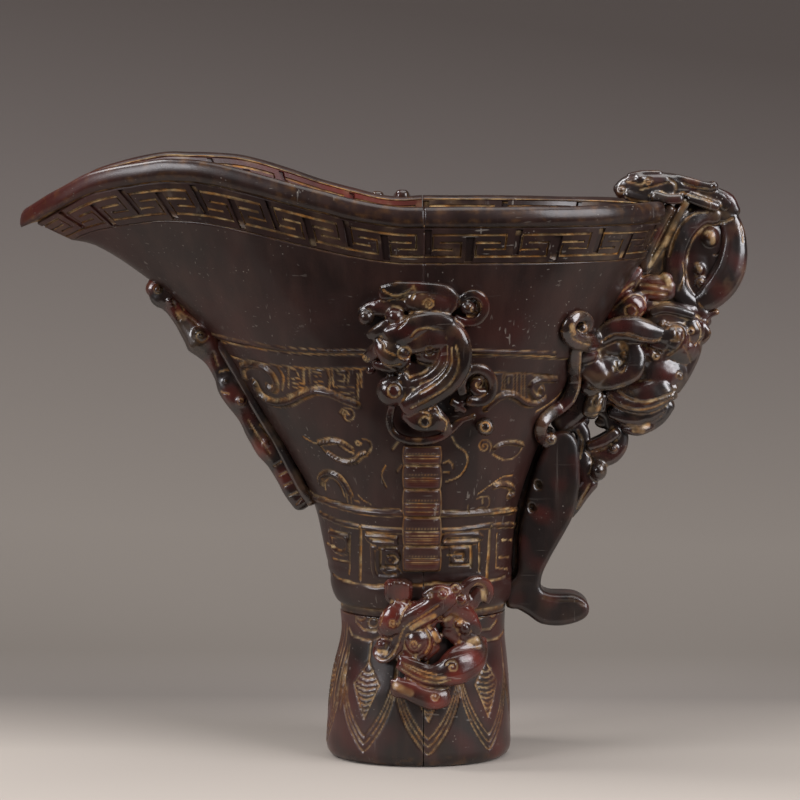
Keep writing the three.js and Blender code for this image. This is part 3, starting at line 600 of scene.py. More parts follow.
def key_fret_tree():
    """Key units in a row, wrapped between two rails that follow the rim."""
    graph = Graph("key_fret")
    for name, kind in (("Key unit", "Object"), ("Lower rail", "Object"), ("Upper rail", "Object"),
                       ("Units", "Int"), ("Facing", "Float"), ("Hand wobble", "Float"),
                       ("Finish", "Material")):
        graph.take(name, "NodeSocket" + kind)
    count = graph.given("Units")
    line = graph.node("GeometryNodeMeshLine", None, {"Count": count, "Offset": (1.0, 0.0, 0.0)})
    unit = graph.node("GeometryNodeObjectInfo", None, {"Object": graph.given("Key unit")})
    copies = graph.node("GeometryNodeInstanceOnPoints", None, {
        "Points": line.outputs[0], "Instance": unit.outputs["Geometry"]})
    row = graph.node("GeometryNodeRealizeInstances", None, {0: copies.outputs[0]})
    joined = graph.node("GeometryNodeMergeByDistance", None, {0: row.outputs[0], "Distance": 1e-5})
    place = graph.node("GeometryNodeInputPosition").outputs[0]
    wobble = graph.node("ShaderNodeTexNoise", None, {"Vector": place, "Scale": 7.0})
    shake = graph.vector("SUBTRACT", {0: wobble.outputs["Color"], 1: (0.5, 0.5, 0.5)})
    shake = graph.vector("SCALE", {0: shake, "Scale": graph.given("Hand wobble")})
    shaken = graph.vector("ADD", {0: place, 1: shake})
    parts = graph.node("ShaderNodeSeparateXYZ", None, {0: shaken}).outputs
    plain = graph.node("ShaderNodeSeparateXYZ", None, {0: place}).outputs
    share = graph.maths("DIVIDE", parts[0], count)
    rails = []
    for name in ("Lower rail", "Upper rail"):
        curve = graph.node("GeometryNodeObjectInfo", None, {"Object": graph.given(name)})
        spot = graph.node("GeometryNodeSampleCurve", {"mode": "FACTOR", "use_all_curves": True}, {
            "Curves": curve.outputs["Geometry"], "Factor": share})
        rails.append(spot)
    low, high = rails[0].outputs["Position"], rails[1].outputs["Position"]
    across = graph.vector("SUBTRACT", {0: high, 1: low})
    out = graph.vector("CROSS_PRODUCT", {0: rails[0].outputs["Tangent"], 1: across})
    out = graph.vector("NORMALIZE", {0: out})
    climb = graph.vector("SCALE", {0: across, "Scale": parts[1]})
    lift = graph.maths("MULTIPLY", plain[2], graph.given("Facing"))
    stand = graph.vector("SCALE", {0: out, "Scale": lift})
    spot = graph.vector("ADD", {0: low, 1: climb})
    spot = graph.vector("ADD", {0: spot, 1: stand})
    moved = graph.node("GeometryNodeSetPosition", None, {0: joined.outputs[0], "Position": spot})
    graph.close(moved.outputs[0], graph.given("Finish"))
    return graph


# Relief on the bowl and foot: raised bands and cut lines, drawn on the photograph
class Relief:
    """Heights in millimetres over a set of points, and the cut lines' own mask."""

    def __init__(self, points):
        self.points = points
        self.height = np.zeros(len(points))
        self.groove = np.zeros(len(points))

    def distance(self, path, reach):
        return path_distance(self.points, path, reach)

    def raise_band(self, path, width, height, soft=0.35):
        gap = self.distance(path, width)
        share = 1 - smooth_step(width / 2 - soft / 2, width / 2 + soft / 2, gap)
        self.height = np.maximum(self.height, share * height + (1 - share) * self.height)

    def cut_line(self, path, width, depth, residue=1.0):
        gap = self.distance(path, width)
        share = 1 - smooth_step(width * 0.2, width * 0.62, gap)
        self.height = self.height - share * depth
        mask = (1 - smooth_step(width * 0.3, width * 0.6, gap)) * residue
        self.groove = np.maximum(self.groove, mask)


def wave_noise(points, size, seed):
    """Smooth hand-made unevenness, about -1 to 1, with lumps of a given size."""
    dice = np.random.default_rng(seed)
    total = np.zeros(len(points))
    for _ in range(7):
        way = dice.normal(size=3)
        way *= 2 * math.pi / (size * np.linalg.norm(way) * dice.uniform(0.7, 1.6))
        total += np.sin(points @ way + dice.uniform(0, 2 * math.pi))
    return total / 3.5


LADDER_X = 422.0

# Raised scrolls of the mask band, in photo pixels, with their width in millimetres
MASK_BANDS = [
    ([(212, 335), (236, 341), (266, 346.5), (294, 350), (330, 351.5), (360, 351.5), (400, 352), (444, 352),
     (471, 351.5), (555, 353.5)], 0.8, 0.3),
    ([(243, 378), (241, 368), (250, 365.5), (262, 368), (271, 375), (275, 385), (272, 391), (267, 387)],
     1.3, 0.3),
    ([(254, 384), (259, 394), (268, 401.5), (279, 404), (291.5, 401.5), (302, 396), (315, 391.5),
     (328, 393.5), (340, 399), (356, 405)], 1.5, 0.6),
    ([(320, 484), (320, 477), (328, 473.5), (338, 477.5), (345, 486), (349.5, 495)], 1.2, 0.35),
    ([(318, 444), (325, 442.5), (333, 441.5), (341, 443.5), (351, 450)], 1.0, 0.35),
    ([(327, 454), (338, 460.5), (348, 463), (356, 460.5), (361, 455), (366, 454)], 0.8, 0.35),
    ([(487, 409), (493, 403), (504, 396), (513, 395.5), (520, 399.5), (527, 404), (536, 404), (545, 400)],
     1.4, 0.5),
    ([(557, 380), (543, 380), (533, 384), (531, 391), (536, 398), (543, 395), (542, 389)], 1.3, 0.3),
    ([(495, 487), (500, 485), (508.5, 485.5), (514.5, 490), (514, 495), (510, 496)], 1.1, 0.4),
    ([(495, 450), (500, 445.5), (509, 443.3), (518, 444), (524, 446)], 0.7, 0.3),
]
MASK_LINES = [
    ([(214, 342), (247, 348), (276, 352), (313, 354.5), (360, 354.5), (400, 355), (444, 355), (471, 354.5),
     (555, 357)], 0.55),
    ([(226, 357), (246, 361.5), (265, 365), (282, 367), (313, 369.5), (352, 369.5), (400, 370), (444, 371),
     (499, 373.5), (527, 374.5), (554, 377)], 0.5), ([(276.5, 368), (282, 378), (280.5, 391)], 0.7),
    ([(260, 396), (268, 404.5), (279, 408), (290, 407)], 0.5), ([(286, 397), (296, 393), (306, 388)], 0.7),
    ([(287, 369), (287, 388)], 0.4), ([(287, 370), (296, 370)], 0.4), ([(290, 379.5), (298, 379.5)], 0.4),
    ([(291, 384.5), (301, 384.5)], 0.45), ([(292, 388.5), (304, 388.5)], 0.45),
    ([(296, 373), (297, 377)], 0.4), ([(302, 369), (302.5, 385)], 0.8), ([(308, 369), (308.5, 384)], 0.5),
    ([(309.5, 369), (320, 369.5)], 0.4), ([(310, 373), (320, 373.5)], 0.45),
    ([(313, 377), (320, 377)], 0.4), ([(313, 382.5), (322, 382.5)], 0.45),
    ([(313.5, 386.5), (323, 386.5)], 0.45), ([(327, 371), (329, 379), (328, 389)], 0.5),
    ([(331, 371), (332.5, 388)], 0.5), ([(335, 371.5), (347, 371.5), (347, 384)], 0.45),
    ([(336, 375), (343, 375), (343, 382), (337, 382)], 0.4), ([(335, 387.5), (353, 388)], 0.45),
    ([(338, 393.5), (353, 394)], 0.45), ([(343, 398), (354, 398.5)], 0.45),
    ([(360, 372), (360.5, 388)], 0.6), ([(357, 375), (357, 400)], 0.5),
    ([(302, 438), (312, 443.6), (318, 445)], 0.5),
    ([(318, 445.5), (327, 455.5), (338, 462.5), (348, 465), (357, 463)], 0.5),
    ([(338, 446), (345, 450.5), (352, 454)], 0.8), ([(362, 440), (369, 442), (371, 448), (367, 455)], 0.5),
    ([(317, 484), (316, 478), (321, 473)], 0.45),
    ([(324, 491), (323, 483), (327, 479), (334, 481), (340, 489), (343, 497)], 0.6),
    ([(345, 494), (346, 503)], 0.5), ([(349, 495), (350, 504)], 0.5), ([(353, 501), (358, 503)], 0.5),
    ([(357, 496), (362, 501), (370, 505)], 0.4), ([(385.5, 466), (381, 476), (386, 488)], 0.4),
    ([(398, 443), (392, 450)], 0.6), ([(401, 466), (397, 472)], 0.6), ([(504, 375), (503, 391)], 0.45),
    ([(506, 376), (506, 389)], 0.4), ([(510, 379), (510, 384)], 0.7), ([(515, 377), (515, 390)], 0.4),
    ([(518.5, 375), (518.5, 393)], 0.45), ([(503, 391), (516, 391)], 0.45),
    ([(522.8, 374), (522.8, 396)], 0.5), ([(526.3, 374), (526, 398)], 0.5), ([(504, 375), (516, 376)], 0.4),
    ([(536, 377), (545, 376.5), (555, 377.3)], 0.8),
    ([(538, 412.5), (550, 405.5), (557, 400), (564, 392)], 0.6),
    ([(494, 455), (501.5, 459.5), (508.5, 460.7), (515.5, 458.5), (522, 452), (524.5, 446)], 0.55),
    ([(452, 437.5), (458, 447), (466, 452.5), (468.5, 461), (465, 471), (458, 478), (446.5, 482.5)], 0.5),
    ([(444, 464), (449, 461.5), (453, 465), (453.5, 469)], 0.6), ([(444, 473), (450, 473.5)], 0.5),
    ([(479, 495), (492.5, 485.5), (504, 478), (514, 476.5)], 0.4),
    ([(478, 499), (490, 498), (489.5, 508), (479, 508)], 0.45), ([(484, 500), (484, 504)], 0.7),
    ([(477.5, 510.5), (490, 510)], 0.5), ([(445, 511.5), (469, 512.2)], 0.6),
    ([(469, 506), (469, 513)], 0.5),
    ([(313.5, 496), (332.5, 502), (350, 507), (368, 509.5), (399, 510)], 0.6),
    ([(435, 517), (469, 515.5), (495, 513), (516.5, 509.5)], 0.6),
]
# Spirals as (centre, radius, turns, start in degrees, hand)
MASK_SPIRALS = [
    ((347, 416.5), 9, 1.35, 200, 1), ((344.5, 413.5), 3.6, 1.1, 100, 1), ((357, 443.5), 3.2, 1.2, 0, 1),
    ((485.5, 447), 7.6, 1.7, 40, -1),
]

# The ground of the mask band lies between these two edges
MASK_TOP_EDGE = [
    (205, 334), (214, 337), (255, 346), (306, 352.5), (360, 353.5), (444, 354), (500, 354), (570, 357),
]
MASK_LOW_EDGE = [(300, 486), (313, 497), (348, 509), (401, 514), (443, 514), (516, 511), (540, 508)]

# Lines of the band below the mask and of the large meander above the collar
LOWER_BANDS = [
    ([(313, 498), (330, 504), (348, 509.5), (376, 513.6), (401, 514.5), (443, 514.5), (468, 514),
     (516, 511)], 1.1),
    ([(320, 514), (338, 522.5), (362, 527.5), (391.5, 531), (450.5, 531), (485.5, 526.5), (517, 525)], 1.0),
]
MEANDER_BLOCKS = [
    [(329, 534), (345, 538), (346, 552), (333, 549)],
    [(366, 536), (396, 539), (396, 544), (372, 542)],
    [(372, 548), (376, 576), (398, 577), (397, 571), (384, 570), (383, 549)],
    [(386, 552), (397, 553), (397, 563), (388, 562)],
    [(445, 536), (478, 535), (478, 541), (445, 543)],
    [(452, 550), (466, 549.5), (465, 561), (453, 561.5)],
]
MEANDER_LINES = [
    ([(360, 527), (360, 552), (360, 580)], 0.9),
    ([(329, 529.5), (346, 534.5)], 0.8),
    ([(326, 543.5), (334, 547)], 0.7),
    ([(332, 558.5), (347, 562)], 0.8),
    ([(349, 536), (349, 574)], 0.6),
    ([(380, 568), (380, 547.5), (396, 547.5)], 0.8),
    ([(380, 567), (394, 567.5)], 0.8),
    ([(366, 533), (396, 537)], 0.7),
    ([(388, 556), (393, 556), (398, 560), (393, 563)], 0.7),
    ([(445, 541), (478, 540)], 0.9),
    ([(439, 547.7), (471.5, 546.3), (471.5, 567)], 0.8),
    ([(448, 555), (464, 554), (463, 560)], 0.6),
    ([(450, 565.5), (469.5, 565)], 0.8),
    ([(480, 540), (480, 572)], 0.6),
    ([(491, 527), (489.5, 552), (487, 579)], 1.0),
    ([(503, 540), (513, 540)], 0.7),
    ([(500, 557.5), (510, 557)], 0.7),
    ([(498, 534), (497, 568), (508, 569)], 0.6),
    ([(333, 574.5), (348, 581.5), (376, 586), (391, 584.5), (418, 585.5), (435, 583), (453, 584),
      (474, 581), (488, 581.5), (505, 576.5)], 1.0),
]

FRET_LOW_RISE, FRET_HIGH_RISE = 0.868, 0.951
FRET_EDGE_RISE = 0.0035
FRET_DEPTH = 0.95
INNER_FRET_LOW, INNER_FRET_HIGH = 0.908, 0.989
PLAIN_LOW_RISE = 0.665
DENSE_STEP = 0.42
SIDE_COLUMNS = 166
COLLAR_RISES = (0.016, 0.082)
COLLAR_BULGE = 0.9
# Depths and heights of the flank's carving, in mm; its mask bands stand at shares of MASK_STAND
MASK_GROUND = 0.62
MASK_STAND = 1.3
MASK_CUT = 0.38
SPIRAL_CUT = (0.5, 0.35)
LOWER_GROUND = 0.3
MEANDER_WIDTH, MEANDER_STAND, MEANDER_CUT = 1.2, 0.25, 0.5
CREASE_DEPTH = 0.4


def even_turns(front, count):
    """Turns whose spots stand at even distances along the half's plan."""
    span = np.linspace(0, math.pi, 4001) * (1 if front else -1)
    length = np.zeros(len(span))
    for rise in (0.5, 0.92):
        spots = bowl_points(span, rise, 0.0, 0.0, front)
        steps = np.linalg.norm(np.diff(spots, axis=0), axis=1)
        length[1:] += np.cumsum(steps)
    return np.interp(np.linspace(0, length[-1], count), length, span)


def outer_rows():
    """Rows of the bowl's outside as (rise, inset, lift)."""
    dense_low = np.arange(0, PLAIN_LOW_RISE, DENSE_STEP / bowl_height)
    plain = np.linspace(PLAIN_LOW_RISE, FRET_LOW_RISE - 2 * FRET_EDGE_RISE, 14)
    rows = [(rise, 0.0, 0.0) for rise in [*dense_low, *plain]]
    low, high, edge = FRET_LOW_RISE, FRET_HIGH_RISE, FRET_EDGE_RISE
    rows += [(low - edge, 0.0, 0.0), (low - edge / 2, 0.25, 0.0), (low, FRET_DEPTH, 0.0)]
    rows += [(rise, FRET_DEPTH, 0.0) for rise in np.linspace(low, high, 5)[1:-1]]
    rows += [(high, FRET_DEPTH, 0.0), (high + edge / 2, 0.25, 0.0), (high + edge, 0.0, 0.0)]
    return rows


def lip_rows():
    """The rolled lip, from the outside over to the inside."""
    share = np.linspace(0, 1, 11)
    spots = densify([(0.35, -lip_drop + 0.35), (0.0, -lip_drop * 0.75), (0.05, -lip_drop * 0.45),
                     (lip_inset / 10, -lip_drop * 0.22), (lip_inset / 4, -lip_drop * 0.07),
                     (lip_inset * 0.55, 0.0), (wall_thickness - lip_inset / 3, -lip_drop / 16),
                     (wall_thickness, -lip_drop / 4)], 0.7)
    rows = [(1.0, inset, lift) for inset, lift in spots]
    return rows


def inner_rows():
    low, high, edge = INNER_FRET_LOW, INNER_FRET_HIGH, FRET_EDGE_RISE
    deep = wall_thickness - FRET_DEPTH
    rows = [(high + edge, wall_thickness, 0.0), (high, deep, 0.0)]
    rows += [(rise, deep, 0.0) for rise in np.linspace(high, low, 5)[1:-1]]
    rows += [(low, deep, 0.0), (low - edge, wall_thickness, 0.0)]
    rows += [(rise, wall_thickness, 0.0) for rise in np.linspace(low - 3 * edge, 0.05, 24)]
    rows.append((0.0, wall_thickness, 0.0))
    return rows


def carve_bowl(points):
    """Relief over the outside points of the bowl; both flanks carry the same carving."""
    near = near_side(points)
    rise = (points[:, 2] - foot_height) / (rim_height(points[:, 0]) - foot_height)
    relief = Relief(near)
    edge = on_flank(MASK_TOP_EDGE)
    edge_z = np.interp(near[:, 0], edge[:, 0], edge[:, 2])
    below = smooth_step(0.2, 0.9, edge_z - near[:, 2])
    low_edge = on_flank(MASK_LOW_EDGE)
    low_z = np.interp(near[:, 0], low_edge[:, 0], low_edge[:, 2])
    above = smooth_step(0.0, 0.7, near[:, 2] - low_z)
    relief.height = -MASK_GROUND * below * above
    for path, width, stand in MASK_BANDS:
        relief.raise_band(on_flank(densify(path, 3)), width, stand * MASK_STAND)
    for path, width in MASK_LINES:
        relief.cut_line(on_flank(densify(path, 3)), width, MASK_CUT)
    for spec in MASK_SPIRALS:
        relief.cut_line(on_flank(spiral(*spec)), *SPIRAL_CUT)
    lower = smooth_step(0.0, 0.8, low_z - near[:, 2]) * smooth_step(0.1, 0.115, rise)
    relief.height = relief.height - LOWER_GROUND * lower
    for path, width in LOWER_BANDS:
        relief.raise_band(on_flank(densify(path, 6)), width, LOWER_GROUND)
    for path in MEANDER_BLOCKS:
        relief.raise_band(on_flank(densify(path + path[:1], 3)), MEANDER_WIDTH, MEANDER_STAND)
    for path, width in MEANDER_LINES:
        relief.cut_line(on_flank(path), width, MEANDER_CUT)
    share = np.clip((rise - COLLAR_RISES[0]) / (COLLAR_RISES[1] - COLLAR_RISES[0]), 0, 1)
    relief.height += COLLAR_BULGE * np.sin(math.pi * share) ** 0.8
    crease = np.exp(-((rise - COLLAR_RISES[0]) / 0.006) ** 2)
    relief.height -= CREASE_DEPTH * crease
    relief.groove = np.maximum(relief.groove, crease * 0.4)
    return relief


# How far a point stands off its smoothed surface, in mm, where residue or wear begins and is full
BEND_SEEN = (0.042, 0.175)


def attribute_set(thing, groove, thin_red_and_painted_sheen, rounds=4, trust=1.0):
    """Stores the carving's masks: cut lines, hollows, rubbed edges, and red parts, which are horn that shows
    red and, on the foot's ends, a painted sheen.
    """
    spots = mesh_points(thing)
    around = Neighbours(thing)
    soft = spots
    for _ in range(rounds):
        soft = 0.4 * soft + 0.6 * around.mean(soft)
    bend = ((soft - spots) * mesh_normals(thing)).sum(1)
    set_attribute(thing, "groove", np.clip(groove, 0, 1))
    set_attribute(thing, "hollow", trust * smooth_step(*BEND_SEEN, bend))
    set_attribute(thing, "edge", trust * smooth_step(*BEND_SEEN, -bend))
    set_attribute(thing, "thin_red_and_painted_sheen", np.clip(thin_red_and_painted_sheen, 0, 1))


def spout_redness(points):
    """Thin horn near the spout lip and the rim shows red."""
    spout = smooth_step(-spout_reach * 0.62, -spout_reach * 0.9, points[:, 0])
    high = smooth_step(rim_level - 34, rim_level - 12, points[:, 2])
    patches = 0.5 + 0.5 * wave_noise(points, 26, SEED)
    return np.clip(spout * high * (0.45 + 0.55 * patches) + 0.3 * patches * (1 - high), 0, 1) * 0.9


def bowl_half(name, front):
    columns = 2 * SIDE_COLUMNS + 1
    turns = even_turns(front, columns)
    outer, lip, inner = outer_rows(), lip_rows(), inner_rows()
    rows = np.array(outer + lip + inner)
    grid = bowl_points(turns[:, None], rows[None, :, 0], rows[None, :, 1], rows[None, :, 2], front)
    keep_side(grid, front)
    normals = grid_normals(grid)
    flip = np.sign((normals[:, :40, :2] * grid[:, :40, :2]).sum())
    normals *= flip
    outside = len(outer)
    carved = grid[:, :outside].reshape(-1, 3)
    relief = carve_bowl(carved)
    height = relief.height + 0.05 * wave_noise(carved, 9, SEED)
    moved = carved + normals[:, :outside].reshape(-1, 3) * height[:, None]
    grid[:, :outside] = moved.reshape(columns, outside, 3)
    rest = grid[:, outside:].reshape(-1, 3)
    rest = rest + normals[:, outside:].reshape(-1, 3) * (0.09 * wave_noise(rest, 14, SEED + 1))[:, None]
    grid[:, outside:] = rest.reshape(columns, -1, 3)
    ends = close_seam(grid, front)
    count = len(rows)
    faces = grid_faces(columns, count, wrap_rows=True)
    thing = mesh_object(name, grid.reshape(-1, 3), faces + list(ends))
    outward(thing)
    groove = np.zeros((columns, count))
    groove[:, :outside] = relief.groove.reshape(columns, outside)
    red = spout_redness(mesh_points(thing)).reshape(columns, count)
    inner_wall = smooth_step(0.6, 0.8, rows[:, 0]) * (np.arange(count) >= outside + len(lip))
    red = np.maximum(red, inner_wall[None, :] * (0.6 if front else 0.15))
    place = np.arange(count)
    rise = rows[:, 0]
    bare = (place < outside) & (rise > PLAIN_LOW_RISE) & (rise < FRET_LOW_RISE - 1.5 * FRET_EDGE_RISE)
    bare |= (place >= outside + len(lip)) & (rise < INNER_FRET_LOW - 2 * FRET_EDGE_RISE)
    attribute_set(thing, groove.ravel(), red.ravel(), trust=np.tile(1.0 - bare, columns))
    return thing


# The key fret under the lip: grooves and deep slots of one pair of keys, as shares
# of the pair's length and of the band's height, low edge first
KEY_GROOVES = [
    (0.085, 0.912, 0.79, 0.832), (0.175, 0.412, 0.57, 0.606), (0.573, 0.845, 0.575, 0.611),
    (0.085, 0.311, 0.372, 0.408), (0.67, 0.912, 0.385, 0.421), (0.573, 1.0, 0.18, 0.218),
    (0.0, 0.412, 0.175, 0.213), (0.085, 0.094, 0.36, 0.83), (0.403, 0.412, 0.175, 0.6),
    (0.573, 0.582, 0.18, 0.5), (0.903, 0.912, 0.385, 0.83),
]
KEY_SLOTS = [(0.462, 0.552, 0.05, 0.74), (0.004, 0.072, 0.25, 0.95)]
KEY_RAMP = (0.008, 0.018)
KEY_RELIEF = 0.85
KEY_GROOVE_LEVEL, KEY_SLOT_LEVEL = 0.3, 0.05
PAIRS_FRONT, PAIRS_REAR = 11, 7


def key_unit():
    """One pair of keys: x and y run from 0 to 1, z is the relief in metres."""
    cuts = {"u": {0.0, 1.0, 0.25, 0.5, 0.75}, "v": {0.0, 1.0, 0.03, 0.97}}
    for left, right, low, high in KEY_GROOVES + KEY_SLOTS:
        for key, spot, ramp in (("u", left, -KEY_RAMP[0]), ("u", right, KEY_RAMP[0]),
                                ("v", low, -KEY_RAMP[1]), ("v", high, KEY_RAMP[1])):
            cuts[key].update(round(min(max(value, 0.0), 1.0), 4) for value in (spot, spot + ramp))
    us, vs = sorted(cuts["u"]), sorted(cuts["v"])
    u, v = np.meshgrid(us, vs, indexing="ij")
    level, groove = np.ones(u.shape), np.zeros(u.shape)
    for rects, floor, tan in ((KEY_GROOVES, KEY_GROOVE_LEVEL, 1.0), (KEY_SLOTS, KEY_SLOT_LEVEL, 0.0)):
        for left, right, low, high in rects:
            away_u = np.maximum(np.maximum(left - u, u - right), 0) / KEY_RAMP[0]
            away_v = np.maximum(np.maximum(low - v, v - high), 0) / KEY_RAMP[1]
            share = np.clip(np.maximum(away_u, away_v), 0, 1)
            level = np.minimum(level, floor + (1 - floor) * share)
            groove = np.maximum(groove, tan * (share < 0.5))
    border = (v < 0.02) | (v > 0.98)
    level = np.where(border, np.minimum(level, 0.55), level)
    top = np.stack([u, v, level * KEY_RELIEF * MM], axis=-1)
    rows = len(vs)
    bottom = top.copy()[:, [0, -1]]
    bottom[..., 2] = -0.05 * MM
    points = np.vstack([top.reshape(-1, 3), bottom.reshape(-1, 3)])
    faces = grid_faces(len(us), rows)
    first = len(us) * rows
    for i in range(len(us) - 1):
        here, far = i * rows, (i + 1) * rows
        low_here, low_far = first + 2 * i, first + 2 * (i + 1)
        faces.append([here, low_here, low_far, far])
        faces.append([low_here, low_here + 1, low_far + 1, low_far])
        faces.append([low_here + 1, here + rows - 1, far + rows - 1, low_far + 1])
    thing = mesh_object("key_unit", points / MM, faces, smooth=False)
    set_attribute(thing, "groove", np.concatenate([groove.ravel(), np.zeros(2 * len(us))]))
    return thing


def closed_ends(thing):
    work = bmesh.new()
    work.from_mesh(thing.data)
    bmesh.ops.holes_fill(work, edges=[edge for edge in work.edges if edge.is_boundary], sides=0)
    work.to_mesh(thing.data)
    work.free()
    return outward(thing)


def fret_rails(name, front, inside):
    """The two rails of a fret band, from the near seam or the far one as seen."""
    turns = np.linspace(0, math.pi, 600) * (1 if front else -1)
    if front != inside:
        turns = turns[::-1]
    low, high = (INNER_FRET_LOW, INNER_FRET_HIGH) if inside else (FRET_LOW_RISE, FRET_HIGH_RISE)
    inset = wall_thickness - FRET_DEPTH if inside else FRET_DEPTH
    rails = []
    for label, rise in (("low", low), ("high", high)):
        spots = bowl_points(turns, rise, inset, 0.0, front)
        keep_side(spots, front)
        keep = np.r_[True, np.linalg.norm(np.diff(spots, axis=0), axis=1) > 1e-4]
        rails.append(rail(f"{name}_{label}", spots[keep]))
    return rails


def fret_band(name, tree, unit, front, inside, finish):
    low, high = fret_rails(name, front, inside)
    band = tree.grow(name, {
        "Key unit": unit, "Lower rail": low, "Upper rail": high,
        "Units": PAIRS_FRONT if front else PAIRS_REAR, "Facing": 1.0,
        "Hand wobble": 0.02, "Finish": finish})
    for thing in (low, high):
        bpy.data.objects.remove(thing)
    closed_ends(band)
    spots = mesh_points(band)
    set_attribute(band, "hollow", np.zeros(len(spots)))
    set_attribute(band, "edge", np.zeros(len(spots)))
    set_attribute(band, "thin_red_and_painted_sheen", spout_redness(spots))
    return band


# The flared foot, with plantain leaves round its lower half
LEAVES_ROUND = 8
# Nested leaf outlines as (height of the tip, height of the notch, width of the line), in mm
LEAF_NESTS = [(4.2, 21.0, 0.52), (6.6, 24.2, 0.46), (9.0, 27.2, 0.42)]
STEM_TOP, LOZENGE_TOP, LOZENGE_MIDDLE, LOZENGE_FOOT = 38.0, 32.0, 25.0, 14.5
LOZENGE_BARS, BAR_FIRST, BAR_STEP = 9, 15.8, 1.62
FOOT_ROW_STEP = 0.42
FOOT_SIDE_COLUMNS = 108
FOOT_EDGE_ROUND = 4.0
FOOT_PLATE_MARGIN = 7.7
FOOT_PLATE_RECESS = 4.3
CLOUD_LINES = [
    (ring((361, 615.5), 4.4), 0.7), (ring((373, 622.5), 4.6), 0.7),
    ([(349, 628), (352, 635), (362, 639), (372, 640.5), (380, 637)], 0.8),
    ([(355, 612), (356, 622), (364, 630), (376, 631), (382, 625)], 0.7),
    (spiral((479.4, 614), 6.5, 1.4, 200, 1), 0.8),
    ([(470, 624), (478, 630), (490, 629), (497, 620)], 0.7),
    ([(472, 636), (484, 641), (498, 638), (504, 630)], 0.8),
    (ring((492, 612), 4), 0.7),
]


def foot_points(turn, rise, inset, lift, front):
    x, y = plan_point(foot_plan(rise, front), turn, inset)
    z = foot_height * rise + lift
    return np.stack(np.broadcast_arrays(x, y, z), axis=-1)


def foot_arc(points):
    """Distance round the foot from the middle of the near side, positive towards the handle."""
    angle = np.linspace(-math.pi, math.pi, 2001)
    reach = np.where(angle < 0, foot_front_reach, foot_rear_reach)
    rim = np.stack([reach * np.sin(angle), foot_half_width * np.cos(angle)], axis=-1)
    arc = np.r_[0, np.cumsum(np.linalg.norm(np.diff(rim, axis=0), axis=1))]
    arc -= np.interp(0, angle, arc)
    rim_reach = np.where(points[:, 0] < 0, foot_front_reach, foot_rear_reach)
    turn = np.arctan2(points[:, 0] / rim_reach, -points[:, 1] / foot_half_width)
    return np.interp(turn, angle, arc)


def foot_girth():
    ends = foot_arc(np.array([[0.0, foot_half_width, 0.0], [-1e-6, foot_half_width, 0.0]]))
    return float(abs(ends[0]) + abs(ends[1]))


def carve_foot(points):
    near = near_side(points)
    arc = foot_arc(near)
    leaf = foot_girth() / LEAVES_ROUND
    across = np.mod(arc - 1.5 + leaf / 2, leaf) - leaf / 2
    flat = np.stack([across, np.zeros(len(points)), points[:, 2]], axis=-1)
    relief = Relief(near)
    leaves = Relief(flat)
    half = leaf / 2
    for tip, notch, width in LEAF_NESTS:
        outline = [(-half, 0, notch + 9), (-half * 0.93, 0, notch), (-half * 0.62, 0, mix(tip, notch, 0.5)),
                   (-half * 0.22, 0, mix(tip, notch, 0.13)), (0, 0, tip)]
        outline = densify(outline, 1.0)
        for path in (outline, outline * [-1, 1, 1]):
            leaves.cut_line(path, width, 0.4)
    wide = half * 0.46
    lozenge = [(0, 0, LOZENGE_TOP), (wide, 0, LOZENGE_MIDDLE), (0, 0, LOZENGE_FOOT),
               (-wide, 0, LOZENGE_MIDDLE), (0, 0, LOZENGE_TOP)]
    leaves.cut_line(np.array(lozenge, float), 0.5, 0.35)
    leaves.cut_line(np.array([(0, 0, STEM_TOP), (0, 0, LOZENGE_TOP)]), 0.7, 0.35)
    for step in range(LOZENGE_BARS):
        level = BAR_FIRST + BAR_STEP * step
        reach = half * 0.4 * (1 - abs(level - LOZENGE_MIDDLE) / (11.5 if level < LOZENGE_MIDDLE else 8))
        bar = [(-reach, 0, level + 0.5), (0, 0, level - 0.3), (reach, 0, level + 0.5)]
        leaves.cut_line(densify(np.array(bar, float), 0.8), 0.55, 0.3)
    relief.height += leaves.height
    relief.groove = np.maximum(relief.groove, leaves.groove)
    for path, width in CLOUD_LINES:
        relief.cut_line(on_flank(path), width, 0.35)
    reach = np.where(points[:, 0] < 0, foot_front_reach, foot_rear_reach)
    end = smooth_step(0.76, 0.8, np.abs(points[:, 0]) / reach) * (points[:, 0] < 0)
    flutes = np.abs(np.mod(points[:, 1] / 2.0 + 0.5, 1) - 0.5) * 2.0
    tall = smooth_step(15, 19, points[:, 2]) * smooth_step(43.5, 41, points[:, 2])
    flute = (1 - smooth_step(0.2, 0.55, flutes)) * end * tall
    relief.height -= 0.45 * flute
    relief.groove = np.maximum(relief.groove, 0.9 * flute)
    return relief


